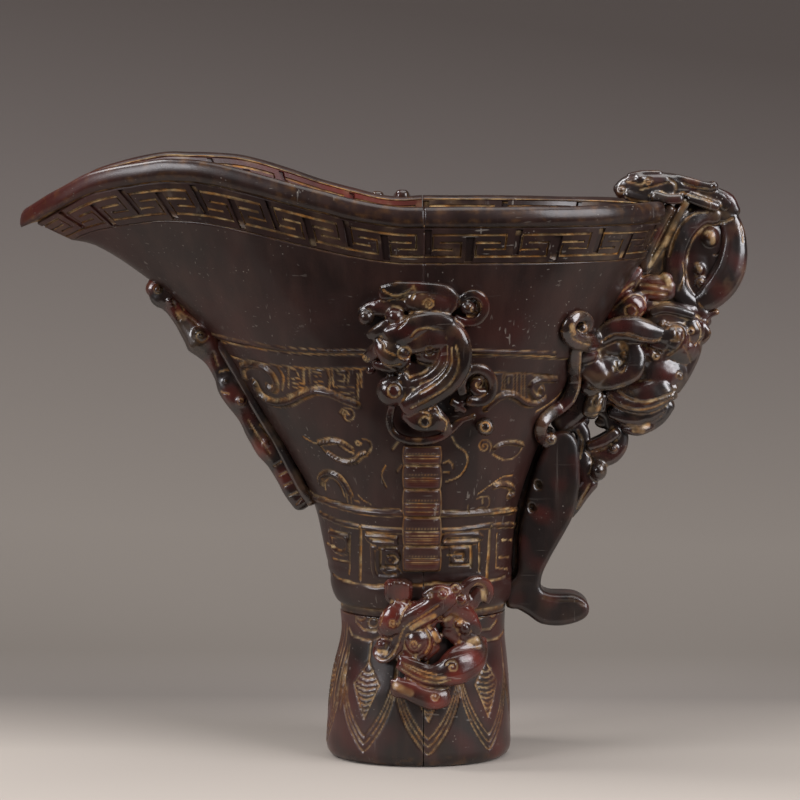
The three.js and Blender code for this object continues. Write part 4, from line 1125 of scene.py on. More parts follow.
def foot_half(name, front):
    columns = 2 * FOOT_SIDE_COLUMNS + 1
    angle = np.linspace(0, math.pi, columns) * (1 if front else -1)
    rises = np.linspace(1, 0, int(foot_height / FOOT_ROW_STEP))
    rises = rises[rises * foot_height > FOOT_EDGE_ROUND]
    rows = [(1.0, 8.0, -seam_gap), (1.0, 3.0, -seam_gap), (1.0, 0.0, -seam_gap)]
    rows += [(rise, 0.0, 0.0) for rise in rises[1:]]
    outside = len(rows)
    bend = np.linspace(0, math.pi / 2, 7)
    round_in = FOOT_EDGE_ROUND * 0.75 * (1 - np.cos(bend))
    rows += [(0.0, inset, FOOT_EDGE_ROUND * (1 - math.sin(b))) for inset, b in zip(round_in, bend)]
    rows += [(0.0, FOOT_PLATE_MARGIN, 0.0), (0.0, FOOT_PLATE_MARGIN, FOOT_PLATE_RECESS)]
    rows = np.array(rows)
    grid = foot_points(angle[:, None], rows[None, :, 0], rows[None, :, 1], rows[None, :, 2], front)
    normals = grid_normals(grid)
    normals *= np.sign((normals[:, 5:60, :2] * grid[:, 5:60, :2]).sum())
    carved = grid[:, 3:outside].reshape(-1, 3)
    relief = carve_foot(carved)
    height = relief.height + 0.06 * wave_noise(carved, 8, SEED + 2)
    carved = carved + normals[:, 3:outside].reshape(-1, 3) * height[:, None]
    grid[:, 3:outside] = carved.reshape(columns, -1, 3)
    first, last = close_seam(grid, front)
    count = len(rows)
    top = [column * count for column in range(columns)]
    low = [column * count + count - 1 for column in range(columns)]
    faces = grid_faces(columns, count) + [top, low[::-1], first + last]
    thing = outward(mesh_object(name, grid.reshape(-1, 3), faces))
    groove = np.zeros((columns, count))
    groove[:, 3:outside] = relief.groove.reshape(columns, -1)
    red = 0.08 + 0.4 * wave_noise(mesh_points(thing), 12, SEED + 3)
    # Painted sheen: both ends of the foot are painted redder and lighter, standing in for the light that
    # falls on its sides.
    red += 0.5 * smooth_step(13, 25, np.abs(mesh_points(thing)[:, 0]))
    attribute_set(thing, groove.ravel(), red)
    return thing


# Finishes as (body, patches, share of patches, residue, roughness, tan wear and painted top light, gloss)
FINISHES = {
    "bowl_horn": (DARK_UMBER, DEEP_RED, 0.4, 0.85, 0.3, 0.0, 0.2),
    "fret_horn": (DARK_UMBER, DEEP_RED, 0.36, 0.9, 0.3, 0.35, 0.22),
    "inner_fret": (DEEP_RED, OXBLOOD, 0.6, 0.9, 0.3, 0.9, 0.25),
    "foot_horn": (BLACK_BROWN, DEEP_RED, 0.35, 0.55, 0.28, 0.05, 0.38),
    "flank_carving": (BLACK_BROWN, DEEP_RED, 0.4, 0.9, 0.18, 0.25, 0.4),
    "foot_carving": (MAROON, OXBLOOD, 0.35, 0.9, 0.2, 0.1, 0.45),
    "spur_horn": (BLACK_BROWN, OXBLOOD, 0.3, 0.8, 0.24, 0.35, 0.6),
    "brow_carving": (BLACK_BROWN, OXBLOOD, 0.3, 0.8, 0.24, 0.5, 0.75),
    "dark_carving": (BLACK_BROWN, DEEP_RED, 0.25, 0.8, 0.24, 0.55, 0.8),
    "black_carving": (BLACK_BROWN, DEEP_RED, 0.25, 0.75, 0.24, 0.5, 0.8),
    "strap_horn": (BLACK_BROWN, DEEP_RED, 0.12, 0.15, 0.3, 0.06, 0.45),
    "floor_horn": (DARK_UMBER, DEEP_RED, 0.4, 0.8, 0.5, 0.0, 0.03),
}
horn_paint = {name: carved_horn(name, *values) for name, values in FINISHES.items()}


def dress(thing, finish, slot, *nodes):
    thing.data.materials.clear()
    thing.data.materials.append(horn_paint[finish])
    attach(thing, BODY)
    if nodes:
        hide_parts(*nodes)


# The room: a pale floor that sweeps up into a backdrop with painted shade, soft boxes and the camera
SWEEP_FRONT, SWEEP_DEPTH, SWEEP_HALF_WIDTH, SWEEP_HEIGHT, SWEEP_BEND = -0.16, 0.55, 2.6, 2.2, 0.35
# Tones of the paper as (metres along the sweep from under the cup, colour): painted shade, darker along the
# sweep from the floor up the backdrop
PAPER_TONES = [
    (-0.1, colour(164, 156, 148)), (0.006, colour(161, 153, 145)), (0.1, colour(112, 106, 101)),
    (0.19, colour(104, 98, 92)), (0.35, colour(104, 98, 92)), (0.64, colour(78, 72, 69)),
    (0.77, colour(60, 54, 51)), (1.3, colour(46, 42, 40)),
]
# Painted shade across the width: the tones slide along the sweep with x, so the paper behind the cup is
# painted darker towards the right
PAPER_TILT = 0.25
FLOOR_FRONT = -2.6


def studio_paint():
    paint = Paint("studio_paper")
    parts = [paint.node("ShaderNodeSeparateXYZ", None, {0: paint.place}, out=axis) for axis in range(3)]
    across, depth, height = parts
    # Painted shade: the paper darkens along the sweep and towards the right
    along = (depth + height) * (1 + across * PAPER_TILT)
    shade = PAPER_TONES[0][1]
    for (start, _), (end, tone) in zip(PAPER_TONES, PAPER_TONES[1:]):
        shade = paint.blend(along.step(start, end, "LINEAR"), shade, tone)
    paint.finish(Base_Color=shade, Roughness=0.9, Specular_IOR_Level=0.2)
    output = next(node for node in paint.tree.nodes if node.type == "OUTPUT_MATERIAL")
    paper = output.inputs[0].links[0].from_socket
    back = paint.node("ShaderNodeNewGeometry", out="Backfacing")
    one_sided = paint.make("ShaderNodeMixShader", None, {0: back})
    paint.tree.links.new(paper, one_sided.inputs[1])
    paint.tree.links.new(paint.make("ShaderNodeBsdfTransparent").outputs[0], one_sided.inputs[2])
    paint.tree.links.new(one_sided.outputs[0], output.inputs[0])
    return paint.material


def front_floor(paper):
    """The floor before the sweep, which only the back and side views see."""
    sides = (-SWEEP_HALF_WIDTH / MM, SWEEP_HALF_WIDTH / MM)
    corners = [(x, y / MM, 0.0) for x in sides for y in (FLOOR_FRONT, SWEEP_FRONT)]
    floor = mesh_object("front_floor", corners, [(0, 2, 3, 1)])
    floor.data.materials.append(paper)
    floor.visible_diffuse = floor.visible_glossy = False


def studio_sweep():
    profile = [(SWEEP_FRONT, 0.0), (SWEEP_DEPTH - SWEEP_BEND, 0.0)]
    for step in range(1, 13):
        turn = math.pi / 2 * step / 12
        profile.append((SWEEP_DEPTH - SWEEP_BEND + SWEEP_BEND * math.sin(turn),
                        SWEEP_BEND * (1 - math.cos(turn))))
    profile.append((SWEEP_DEPTH, SWEEP_HEIGHT))
    points = [(side * SWEEP_HALF_WIDTH / MM, y / MM, z / MM) for side in (-1, 1) for y, z in profile]
    sweep = mesh_object("studio_sweep", points, grid_faces(2, len(profile)))
    if sweep.data.polygons[0].normal.z < 0:
        sweep.data.flip_normals()
    paper = studio_paint()
    sweep.data.materials.append(paper)
    front_floor(paper)


# Soft boxes as (name, place, width and height, watts, tint), all turned to the cup's middle
CUP_MIDDLE = (-0.01, 0.0, 0.1)
SOFT_BOXES = [
    ("key_box", (-0.75, 0.05, 1.0), (0.35, 0.4), 9, (1.0, 0.99, 1.0)),
    ("sky_box", (0.15, -0.15, 1.4), (1.3, 1.1), 14, (1.0, 0.99, 0.98)),
    ("left_box", (-1.1, -0.8, 0.6), (0.5, 0.5), 13, (0.97, 0.96, 1.0)),
    ("right_box", (0.95, -0.65, 0.65), (0.8, 0.8), 19, (0.97, 0.96, 1.0)),
]
ROOM_GLOW = (0.037, 0.036, 0.037, 1)
ROOM_SEEN = colour(118, 112, 107)


def soft_box(name, place, size, watts, tint):
    data = bpy.data.lights.new(name, "AREA")
    data.shape = "RECTANGLE"
    data.size, data.size_y = size
    data.energy, data.color = watts, tint
    lamp = placed(name, data)
    lamp.location = place
    lamp.rotation_euler = (Vector(CUP_MIDDLE) - Vector(place)).to_track_quat("-Z", "Y").to_euler()
    lamp.visible_camera = False


def room_world():
    """A faint even glow on the cup, which the camera sees as a grey wall."""
    world = bpy.data.worlds.new("room")
    world.use_nodes = True
    nodes, links = world.node_tree.nodes, world.node_tree.links
    seen = nodes.new("ShaderNodeMix")
    seen.data_type = "RGBA"
    seen.inputs[6].default_value = ROOM_GLOW
    seen.inputs[7].default_value = ROOM_SEEN
    links.new(nodes.new("ShaderNodeLightPath").outputs["Is Camera Ray"], seen.inputs[0])
    links.new(seen.outputs[2], nodes["Background"].inputs[0])
    bpy.context.scene.world = world


def make_room():
    studio_sweep()
    for box in SOFT_BOXES:
        soft_box(*box)
    room_world()
    bpy.context.scene.view_settings.view_transform = "Standard"
    data = bpy.data.cameras.new("camera")
    data.lens, data.sensor_width, data.sensor_fit = LENS, SENSOR, "HORIZONTAL"
    data.clip_start, data.clip_end = 0.05, 20
    camera = placed("camera", data)
    camera.location = CAMERA_PLACE * MM
    camera.rotation_euler = (math.pi / 2 - CAMERA_PITCH, 0, 0)
    bpy.context.scene.camera = camera


# Carved figures: limbs swept along paths drawn on the photograph, joined into one skin.
# Their lines are paths alone, or (path, width, depth in mm)
LINE_WIDTH, LINE_DEPTH = 0.55, 0.45
LIMB_SIDES = 14
LIMB_STEP = 0.8
SECTION_POWER = 2.9
PX_MM = 0.306
CARVING_VOXEL = 0.42
END_TURNS = (0.25, 0.55, 0.8)
SOFT_PULLS = (0.5, -0.47)
MIRROR = (1, -1, 1)
FLANK_CLEAR = 1.6


def limb_spots(limb, seat):
    """Centres, facings and girths of a limb given as (x, y, lift, girth) in photo pixels."""
    limb = np.array(limb, float)
    step = LIMB_STEP / PX_MM
    drawn = densify(limb * [1, 1, 1 / PX_MM, 1], step)
    pixels, lift, girth = drawn[:, :2], drawn[:, 2] * PX_MM, drawn[:, 3] * PX_MM
    centres, outs = seat(pixels, lift)
    return centres, outs, np.maximum(girth, 0.3)


def to_photo(spots):
    """Where spots show in the photograph, in pixels."""
    gap = spots - CAMERA_PLACE
    cosine, sine = math.cos(CAMERA_PITCH), math.sin(CAMERA_PITCH)
    away = gap[:, 1] * cosine - gap[:, 2] * sine
    up = gap[:, 1] * sine + gap[:, 2] * cosine
    return IMAGE_SIZE / 2 + FOCUS_PX / away[:, None] * np.stack([gap[:, 0], -up], axis=-1)


def seat_on_flank(pixels, lift):
    """Places that far off the flank, which show where they are drawn."""
    aim = np.array(pixels, float)
    for _ in range(4):
        spots, outs = lifted_off_flank(aim, lift)
        aim += pixels - to_photo(spots)
    return lifted_off_flank(aim, lift)


def lifted_off_flank(pixels, lift):
    spots = on_flank(pixels)
    gap = 0.4
    x, z = spots[:, 0], spots[:, 2]
    depth = flank_depth(x, z)
    slope_x = (flank_depth(x + gap, z) - flank_depth(x - gap, z)) / (2 * gap)
    slope_z = (flank_depth(x, z + gap) - flank_depth(x, z - gap)) / (2 * gap)
    lean = (-np.clip(slope_x, -1.2, 1.2), -np.ones(len(x)), -np.clip(slope_z, -1, 1))
    outs = np.stack(lean, axis=-1)
    outs /= np.linalg.norm(outs, axis=1, keepdims=True)
    spots = np.stack([x, -depth, z], axis=-1)
    return spots + outs * lift[:, None], outs


def seat_in_plane(pixels, lift):
    """Places on the middle plane, moved towards the camera by the lift."""
    spots = at_depth(pixels, -lift)
    outs = np.tile([0.0, -1.0, 0.0], (len(spots), 1))
    return spots, outs


def seat_beside(pixels, lift):
    """Places that far off the middle plane, or just off the flank where that stands further out."""
    spots = at_depth(pixels, -lift)
    for _ in range(3):
        depth = flank_depth(spots[:, 0], spots[:, 2])
        stand = np.where(depth > 0, depth + FLANK_CLEAR, 0)
        out = 0.5 * (lift + stand + np.sqrt((lift - stand) ** 2 + 4))
        spots = at_depth(pixels, -out)
    outs = np.tile([0.0, -1.0, 0.0], (len(spots), 1))
    return spots, outs


def swept_skin(centres, outs, girth, depth_share):
    """Points and faces of one closed limb with rounded ends."""
    tangents = np.gradient(centres, axis=0)
    tangents /= np.maximum(np.linalg.norm(tangents, axis=1, keepdims=True), 1e-9)
    outs = outs - tangents * (outs * tangents).sum(1, keepdims=True)
    outs /= np.maximum(np.linalg.norm(outs, axis=1, keepdims=True), 1e-9)
    across = np.cross(tangents, outs)
    turn = 2 * math.pi * np.arange(LIMB_SIDES) / LIMB_SIDES
    round_x = np.sign(np.cos(turn)) * np.abs(np.cos(turn)) ** (2 / SECTION_POWER)
    round_y = np.sign(np.sin(turn)) * np.abs(np.sin(turn)) ** (2 / SECTION_POWER)

    def section(i, ahead, share):
        reach = girth[i] * share
        ring_points = round_x[:, None] * across[i] + round_y[:, None] * outs[i] * depth_share
        return centres[i] + tangents[i] * girth[i] * ahead * 0.8 + ring_points * reach

    ends = [(math.sin(math.pi / 2 * (1 - t)), math.cos(math.pi / 2 * (1 - t))) for t in END_TURNS]
    rings = [section(0, -ahead, share) for ahead, share in ends]
    rings += [section(i, 0, 1) for i in range(len(centres))]
    rings += [section(-1, ahead, share) for ahead, share in ends[::-1]]
    return np.vstack(rings), ring_faces(len(rings), LIMB_SIDES)


def blob(x, y, lift, across, down=None, depth=None):
    """A rounded boss, written as a short limb: centre, lift, half width, half height."""
    return ("blob", x, y, lift, across, down or across, depth)


def boss(spec, seat):
    _, x, y, lift, across, down, depth = spec
    centres, outs = seat(np.array([[x, y]], float), np.array([float(lift)]))
    out = outs[0]
    side = np.cross([0.0, 0.0, 1.0], out)
    side /= np.linalg.norm(side)
    up = np.cross(out, side)
    work = bmesh.new()
    bmesh.ops.create_icosphere(work, subdivisions=3, radius=1.0)
    ball = np.array([v.co[:] for v in work.verts])
    faces = [[v.index for v in face.verts] for face in work.faces]
    work.free()
    wide, tall = across * PX_MM * side, down * PX_MM * up
    deep = (depth or min(across, down) * PX_MM) * out
    return centres[0] + ball @ np.array([wide, tall, deep]), faces


def joined_skin(name, parts, voxel, flips=()):
    """One skin round overlapping closed parts; flips repeats them on the far side."""
    points, faces, total = [], [], 0
    for spots, polygons in parts:
        for flip in (False, True) if flips else (False,):
            here = spots * MIRROR if flip else spots
            points.append(here)
            faces += [[total + i for i in (face[::-1] if flip else face)] for face in polygons]
            total += len(spots)
    rough = outward(mesh_object(name + "_rough", np.vstack(points), faces))
    wrap = rough.modifiers.new("skin", "REMESH")
    wrap.mode, wrap.voxel_size, wrap.adaptivity = "VOXEL", voxel * MM, 0.0
    live = rough.evaluated_get(bpy.context.evaluated_depsgraph_get())
    mesh = bpy.data.meshes.new_from_object(live)
    bpy.data.objects.remove(rough)
    mesh.name = name
    mesh.polygons.foreach_set("use_smooth", [True] * len(mesh.polygons))
    return placed(name, mesh)


def soften(thing, rounds=2):
    """Smooths a skin and lets it swell back, so that it keeps its girth."""
    spots = mesh_points(thing)
    around = Neighbours(thing)
    for pull in SOFT_PULLS * rounds:
        spots = spots + pull * (around.mean(spots) - spots)
    move_points(thing, spots)


def on_surface(tree, pixels):
    """Spots of the photograph carried to the first surface of a mesh that they meet."""
    pixels = np.asarray(pixels, float)
    hits = []
    start = Vector(CAMERA_PLACE * MM)
    for ray in photo_rays(pixels):
        place, _, _, _ = tree.ray_cast(start, Vector(ray))
        if place is not None:
            hits.append(np.array(place) / MM)
    return np.array(hits) if len(hits) > 1 else None


def engrave(thing, lines, both_sides):
    """Cuts lines drawn in photo pixels into a mesh, on the near side and its mirror."""
    tree = BVHTree.FromObject(thing, bpy.context.evaluated_depsgraph_get())
    spots, normals = mesh_points(thing), mesh_normals(thing)
    near = near_side(spots) if both_sides else spots
    drop, groove = np.zeros(len(spots)), np.zeros(len(spots))
    for line in lines:
        path, width, depth = line if isinstance(line, tuple) else (line, LINE_WIDTH, LINE_DEPTH)
        found = on_surface(tree, densify(np.array(path, float), 1.2))
        if found is None:
            continue
        jump = np.flatnonzero(np.linalg.norm(np.diff(found, axis=0), axis=1) > 2.5)
        for piece in np.split(found, jump + 1):
            if len(piece) < 2:
                continue
            gap = path_distance(near, piece, width)
            cut = 1 - smooth_step(width * 0.15, width * 0.62, gap)
            drop = np.maximum(drop, cut * depth)
            groove = np.maximum(groove, 1 - smooth_step(width * 0.25, width * 0.6, gap))
    move_points(thing, spots - normals * drop[:, None])
    return groove


def carved_figure(name, limbs, seat, lines, thin_red_and_painted_sheen, depth_share=0.85, voxel=CARVING_VOXEL, both=False,
                  flips=False, far=False, extra=()):
    """One carving; both engraves its two sides, flips repeats its limbs on the far side,
    far turns it over to that side, and thin is how red it shows."""
    parts = []
    for limb in limbs:
        if limb[0] == "blob":
            parts.append(boss(limb, seat))
        else:
            parts.append(swept_skin(*limb_spots(limb, seat), depth_share))
    parts += list(extra)
    thing = joined_skin(name, parts, voxel, flips)
    soften(thing)
    groove = engrave(thing, lines, both_sides=both or flips)
    spots = mesh_points(thing)
    unevenness = 0.05 * wave_noise(spots, 5, SEED + len(name))
    move_points(thing, spots + mesh_normals(thing) * unevenness[:, None])
    if far:
        move_points(thing, mesh_points(thing) * MIRROR)
        thing.data.flip_normals()
    red = thin_red_and_painted_sheen + 0.5 * wave_noise(mesh_points(thing), 9, SEED + 5)
    attribute_set(thing, groove, red, rounds=6)
    return thing


# Flank dragon, as (x, y, lift in mm, girth) in photo pixels
FLANK_DRAGON = [
    [(384, 290, 3, 6), (396, 287, 3.4, 6), (412, 287, 3.4, 6), (430, 288, 3.6, 6), (446, 291, 3.6, 6.5),
     (454, 298, 3.4, 6)], [(383, 294, 3.2, 6), (394, 293.5, 3.6, 5.5), (406, 292, 3.4, 4.5)],
    [(386, 300, 2.4, 3), (398, 299, 2.6, 3), (410, 295, 2.6, 3)],
    [(412, 300, 2.2, 10), (428, 303, 2.4, 13), (444, 303, 2.4, 12), (452, 304, 2.4, 8)],
    [(418, 297, 3.6, 2.6), (424, 293.5, 4, 2.6), (436, 293, 4.2, 3), (448, 297, 4.2, 3.6), (454, 303, 4, 4),
     (448, 312, 3.8, 3.4), (434, 314.5, 3.6, 3), (420, 313, 3.4, 2.8), (415, 305, 3.4, 2.6)],
    blob(429, 304, 2.8, 6, 6, 1.8),
    [(461, 303, 3, 3.6), (465, 296, 3.2, 4.2), (473, 293.5, 3.2, 4.6), (481, 297, 3.2, 5), (485, 305, 3, 5),
     (483, 314, 3, 5), (476, 321, 2.8, 5), (466, 322, 2.8, 4.5), (456, 318, 3, 4)],
    blob(467.5, 307, 2.8, 7.5, 7.5, 2.8), blob(474, 309, 1, 11, 11, 2), blob(366.5, 317, 2.6, 8, 8.5, 2.8),
    blob(395, 316, 3.6, 9, 9, 3.2),
    [(361, 311, 2, 4), (370, 306, 2.2, 4), (382, 303, 2.4, 4.5), (396, 303, 2.6, 5), (410, 306, 2.4, 6)],
    [(408, 317, 3, 3), (405, 322, 3.4, 3), (398, 328, 3.6, 3)], [(376, 308, 1.8, 8), (392, 309, 1.8, 9)],
    [(370, 335, 4.4, 4.5), (377, 331, 4.8, 6), (386, 326, 4.8, 6.5), (394, 322, 4.4, 5)],
    [(380, 338, 4.4, 7), (386, 347, 5, 12), (394, 354, 5.2, 13.5), (402, 360, 4.8, 10)],
    [(382, 344, 4.4, 8), (374, 352, 4, 7), (367, 358, 3.6, 5.5)],
    [(376, 364, 3.6, 4.5), (388, 367, 4.2, 5.5), (402, 367, 4.2, 5.5)], blob(371, 370, 2.6, 5, 4.5, 1.8),
    blob(391, 371, 3, 5, 4.5, 2),
    [(392, 336, 4.6, 12), (406, 330, 5, 12), (420, 323, 5, 11), (436, 320, 4.8, 9), (448, 324, 4.8, 9)],
    [(402, 344, 4.2, 11), (418, 342, 4.4, 11), (432, 338, 4.6, 12), (446, 338, 4.8, 10)],
    [(410, 339, 5.2, 2.6), (414, 333, 5.6, 3), (422, 328.5, 6, 3.2), (432, 328.5, 6, 3.2),
     (440, 331, 5.8, 3.4)],
    [(437, 351.5, 4.8, 2), (435, 346.5, 4.8, 2), (430, 344.5, 4.8, 2), (425, 346.5, 4.8, 2),
     (423, 351.5, 4.8, 2), (425, 356.5, 4.8, 2), (430, 358.5, 4.8, 2), (435, 356.5, 4.8, 2),
     (437, 352, 4.8, 2)], [(420, 354, 3, 7), (432, 356, 3.2, 8), (440, 352, 3.4, 8)],
    [(446, 326, 4.6, 9), (455, 336, 5, 12), (459, 350, 5.6, 13), (457, 364, 5.8, 13.5),
     (449, 378, 5.8, 13.5), (436, 389, 5.6, 13), (422, 398, 5.2, 12), (408, 406, 4.6, 10)],
    [(447, 340, 5.4, 6), (445, 356, 5.8, 6), (440, 368, 5.8, 6), (427, 379, 5.4, 6), (412, 384, 4.6, 6)],
    [(404, 368, 1.8, 9), (420, 370, 1.6, 10), (434, 368, 1.8, 9)], blob(392, 391, 4.2, 16, 15.5, 4.2),
    [(402, 378, 4.4, 6), (406, 388, 4.8, 7), (402, 400, 4.6, 8)],
    [(462, 392, 3.4, 5), (461, 383, 3.8, 5), (465, 374, 4, 5.2), (474, 368.5, 4, 5.4), (484, 370, 3.8, 5.4),
     (491, 377, 3.6, 5.2), (493, 387, 3.4, 5), (489, 397, 3.4, 5), (480, 402, 3.4, 5), (469, 401, 3.4, 5)],
    blob(477, 385, 0.8, 14, 14, 1.8),
    [(484, 392, 2.6, 4), (478, 393, 2.8, 4.5), (473, 388, 2.8, 4.5), (475, 381, 2.8, 4.5),
     (481, 378, 2.8, 4)], [(452, 402, 2.8, 4), (459, 406, 2.8, 3.5), (464, 411, 2.6, 3)],
    [(462, 402, 2.8, 3), (456, 410, 2.8, 3)],
    [(408, 414, 3.6, 8), (420, 419, 4.4, 12), (434, 420, 4.4, 11.5), (442, 424, 3.8, 8)],
    [(434, 407, 4.4, 4), (440, 414, 4.6, 4), (446, 422, 4.2, 4), (446, 431, 3.6, 4)],
    [(448, 428, 2.6, 3.2), (460, 421, 2.8, 3), (474, 416, 2.6, 3)], blob(485, 426.5, 2.6, 9.5, 9.5, 3.2),
    [(393, 404, 3.2, 4), (390, 415, 3, 4), (390, 425, 3, 4), (396, 435, 3, 4), (409, 440.5, 3, 4),
     (424, 441, 3, 4), (439, 437.5, 3, 4), (451, 430, 3, 3.6), (462, 420, 2.8, 3)],
]
FLANK_DRAGON_LINES = [
    [(388, 300.5), (398, 298.5), (410, 294.5)], [(383, 290), (392, 295), (404, 294), (412, 288)],
    spiral((429, 304), 6, 1.7, 180, 1), [(413, 286), (415, 292), (412, 299)],
    spiral((474, 308), 8, 0.8, -60, 1), ring((394, 391), 6.3), ring((425, 422), 5.2),
    ring((404.4, 353), 6.3), ring((429.6, 351), 4), [(379, 339), (384, 345), (384.3, 349.6), (395, 355.3)],
    [(381.4, 362), (388, 365.7), (401, 364.5)], [(411, 337), (417, 330), (426, 327.8), (434, 329)],
    spiral((364, 359), 4.6, 1.4, 0, 1), [(447, 346), (447, 360), (442, 370), (432, 379), (420, 384)],
    [(451.5, 348), (451, 364), (444, 376), (434, 385), (420, 393)],
    [(456, 346), (459, 360), (456, 374), (447, 387), (428, 399), (411, 408)],
    [(407.8, 317.5), (405.5, 321), (398.6, 327.8)], [(420, 411.6), (428, 413), (431, 418)],
    [(435.3, 407), (440, 415), (446.8, 422), (445.7, 430)], spiral((478, 384), 8, 1.0, 200, 1),
    ring((485.5, 427), 5),
]

# Foot dragon, in the same form
FOOT_DRAGON = [
    [(390.6, 585, 2.6, 3.4), (389.6, 596, 2.4, 3.4)], [(396, 583, 2.8, 3.4), (395.6, 598, 2.6, 3.4)],
    [(401.4, 583, 2.8, 3.4), (401.4, 598, 2.6, 3.4)], [(406.8, 585, 2.6, 3.4), (407, 597, 2.4, 3.4)],
    [(391, 587, 0.4, 9), (406, 587, 0.4, 9)], [(391, 594, 0.4, 9), (406, 594, 0.4, 9)],
    [(403, 600, 1.2, 7), (402, 608, 1.6, 8)],
    [(399, 606, 3, 7), (396.5, 611, 3.4, 11), (393, 619, 3.6, 13.5), (388, 627, 3.2, 12),
     (382.5, 631, 2.6, 6)],
    [(446, 596, 3.4, 12), (437, 603, 3.6, 13), (428, 609.5, 3.6, 13), (418, 615.5, 3.6, 13),
     (408.5, 621, 3.6, 11.5), (402.4, 628, 3.5, 9), (399.4, 638, 3.3, 7), (396.6, 648, 3.1, 6),
     (389.5, 657, 3, 5), (381, 659.5, 2.8, 4), (375, 653, 2.6, 3)], blob(382.5, 644.3, 2.4, 6.6, 6.6, 2.6),
    [(391, 640, 1.4, 10), (387, 651, 1.4, 9), (378, 650, 1.2, 7)], blob(416.5, 640, 3, 12.5, 14, 3.4),
    [(408, 629, 2.4, 7), (420, 623, 2.4, 7), (432, 617, 2.4, 8)],
    [(424, 628, 4, 3), (429.4, 636, 4.2, 3), (430, 644, 4.2, 3), (426, 652, 4, 3), (419, 657, 3.4, 2.5)],
    blob(440, 600, 3, 8.5, 8.5, 2.8), [(434, 611, 3, 9), (443, 608, 3.4, 10)],
    [(425, 595, 4, 4), (432, 591.4, 4.4, 4.6), (440, 589, 4.6, 5), (449, 590, 4.4, 4)],
    blob(430, 595.5, 4.8, 4, 4, 1.8), blob(443, 594.5, 5, 5.6, 5.6, 2.2),
    [(427, 597, 3.4, 4), (420, 604, 3, 4), (414, 603, 2.8, 3)], blob(455.7, 588.6, 3.8, 6.6, 6.4, 2.4),
    blob(461, 599.5, 3.4, 7, 7, 2.4), [(452, 602, 2, 9), (466, 604, 1.8, 9)],
    [(464, 599, 3, 5), (464.4, 589, 3.2, 5.4), (470, 582.6, 3.2, 5.4), (478, 580.4, 3, 5.6),
     (486, 584.6, 2.8, 5.6), (489, 593, 2.6, 5), (486, 601, 2.6, 4)], blob(482.5, 596, 1.8, 4.6, 7, 2),
    [(452, 607, 3, 8), (462, 611, 3, 9), (469, 619, 3, 9), (473, 630, 3, 9)],
    blob(459, 620.8, 4, 5, 4.6, 2), blob(464, 628.4, 4, 6, 7, 2.4),
    [(465, 634, 3.2, 8), (472, 639, 3.4, 8), (478, 643, 3.2, 7)], blob(475.5, 641, 4, 5, 4, 1.8),
    [(482, 640, 3, 5), (480, 649, 3.4, 8), (475.5, 657, 3.6, 12), (466, 664, 3.8, 16), (454, 669, 3.8, 17),
     (441, 674, 3.4, 13), (427, 675, 3.2, 10), (414, 671, 3, 8), (402, 664, 3, 6)],
    [(477, 645, 3.4, 6), (465, 649, 3.8, 7), (454, 655, 4, 8), (446, 664, 3.8, 8)],
    [(401, 659, 3, 4), (412, 663, 3.4, 4), (424, 667.5, 3.8, 4.4), (436, 670, 4, 4)],
    [(399, 666, 3, 4), (411, 674, 3.2, 4.4), (425, 680.5, 3.6, 5), (440, 683, 3.8, 5), (452, 680.5, 4, 4)],
    [(430, 623, 3, 4), (437, 618, 3.6, 4.4), (444, 619, 3.4, 4)],
    [(433, 631, 2.8, 5), (437.5, 640, 2.8, 5)],
    [(398, 688, 2.4, 10), (409, 690, 2.6, 10), (420, 695.5, 2.8, 10), (432, 699, 2.8, 11),
     (443, 697.5, 2.4, 10)], blob(400, 687, 3, 6, 6.5, 2.2), blob(437, 696.5, 3.2, 8, 6.5, 2.4),
    [(395, 684, 3.6, 2.6), (392, 681, 3.4, 2.4)], [(399.5, 682, 3.6, 2.6), (398.5, 678.5, 3.4, 2.4)],
    [(404, 683, 3.4, 2.6), (405, 679, 3.2, 2.4)],
    [(404, 640, 1, 10), (409, 652, 1, 10), (404, 662, 1.4, 8)], [(447, 618, 1.4, 12), (457, 614, 1.4, 10)],
    [(449, 629, 1.2, 10), (461, 640, 1.2, 9)], [(433, 646, 1.4, 8), (423, 656, 1.2, 7)],
    [(470, 602, 1.2, 9), (478, 590, 1.4, 8)], [(398, 602, 0.8, 8), (408, 612, 1, 9)],
    [(411, 682, 0.8, 10), (428, 688, 0.8, 10), (444, 687, 0.8, 9)],
]
FOOT_DRAGON_LINES = [
    spiral((392.7, 623), 4.6, 1.5, 0, 1), spiral((413.9, 645), 5.8, 1.6, 0, 1),
    spiral((452.6, 667), 7, 1.4, 200, 1),
    [(376, 656), (383, 660), (391, 656), (396.4, 648), (400, 638), (403.6, 629), (410, 623.6), (420, 617.6),
     (430, 611), (438, 605.6)], [(425, 629), (429, 637), (429.6, 645), (425.6, 653)], ring((443, 594), 4.8),
    ring((430, 595), 3), ring((455.7, 588.6), 4), ring((461, 599.5), 4.6),
    [(402, 662.6), (413, 667), (424, 671.6), (436, 674.6)],
    [(400, 668), (412, 676), (424, 681), (438, 683), (450, 680)],
    [(404, 665), (416, 671.4), (430, 677.4), (446, 678)], spiral((434.8, 696.6), 4.4, 1.3, 0, 1),
    spiral((441, 618), 3.4, 1.2, 0, 1), [(472, 588), (478.6, 583.6), (485.6, 588), (486.6, 597)],
    ([(412, 628), (422, 622), (434, 616)], 1.8, 0.05), ([(446, 619), (454, 615), (460, 621)], 2.2, 0.05),
    ([(470, 643), (477, 640), (478, 646)], 2.4, 0.05), ([(379, 651), (386, 653)], 1.8, 0.05),
    ([(434, 634), (438, 640)], 2, 0.05), ([(395, 685), (403, 690), (410, 693)], 2.6, 0.05),
    ([(483, 590), (484.5, 600)], 2, 0.05), [(384, 609), (380, 625)], [(403, 612), (398, 626)],
]

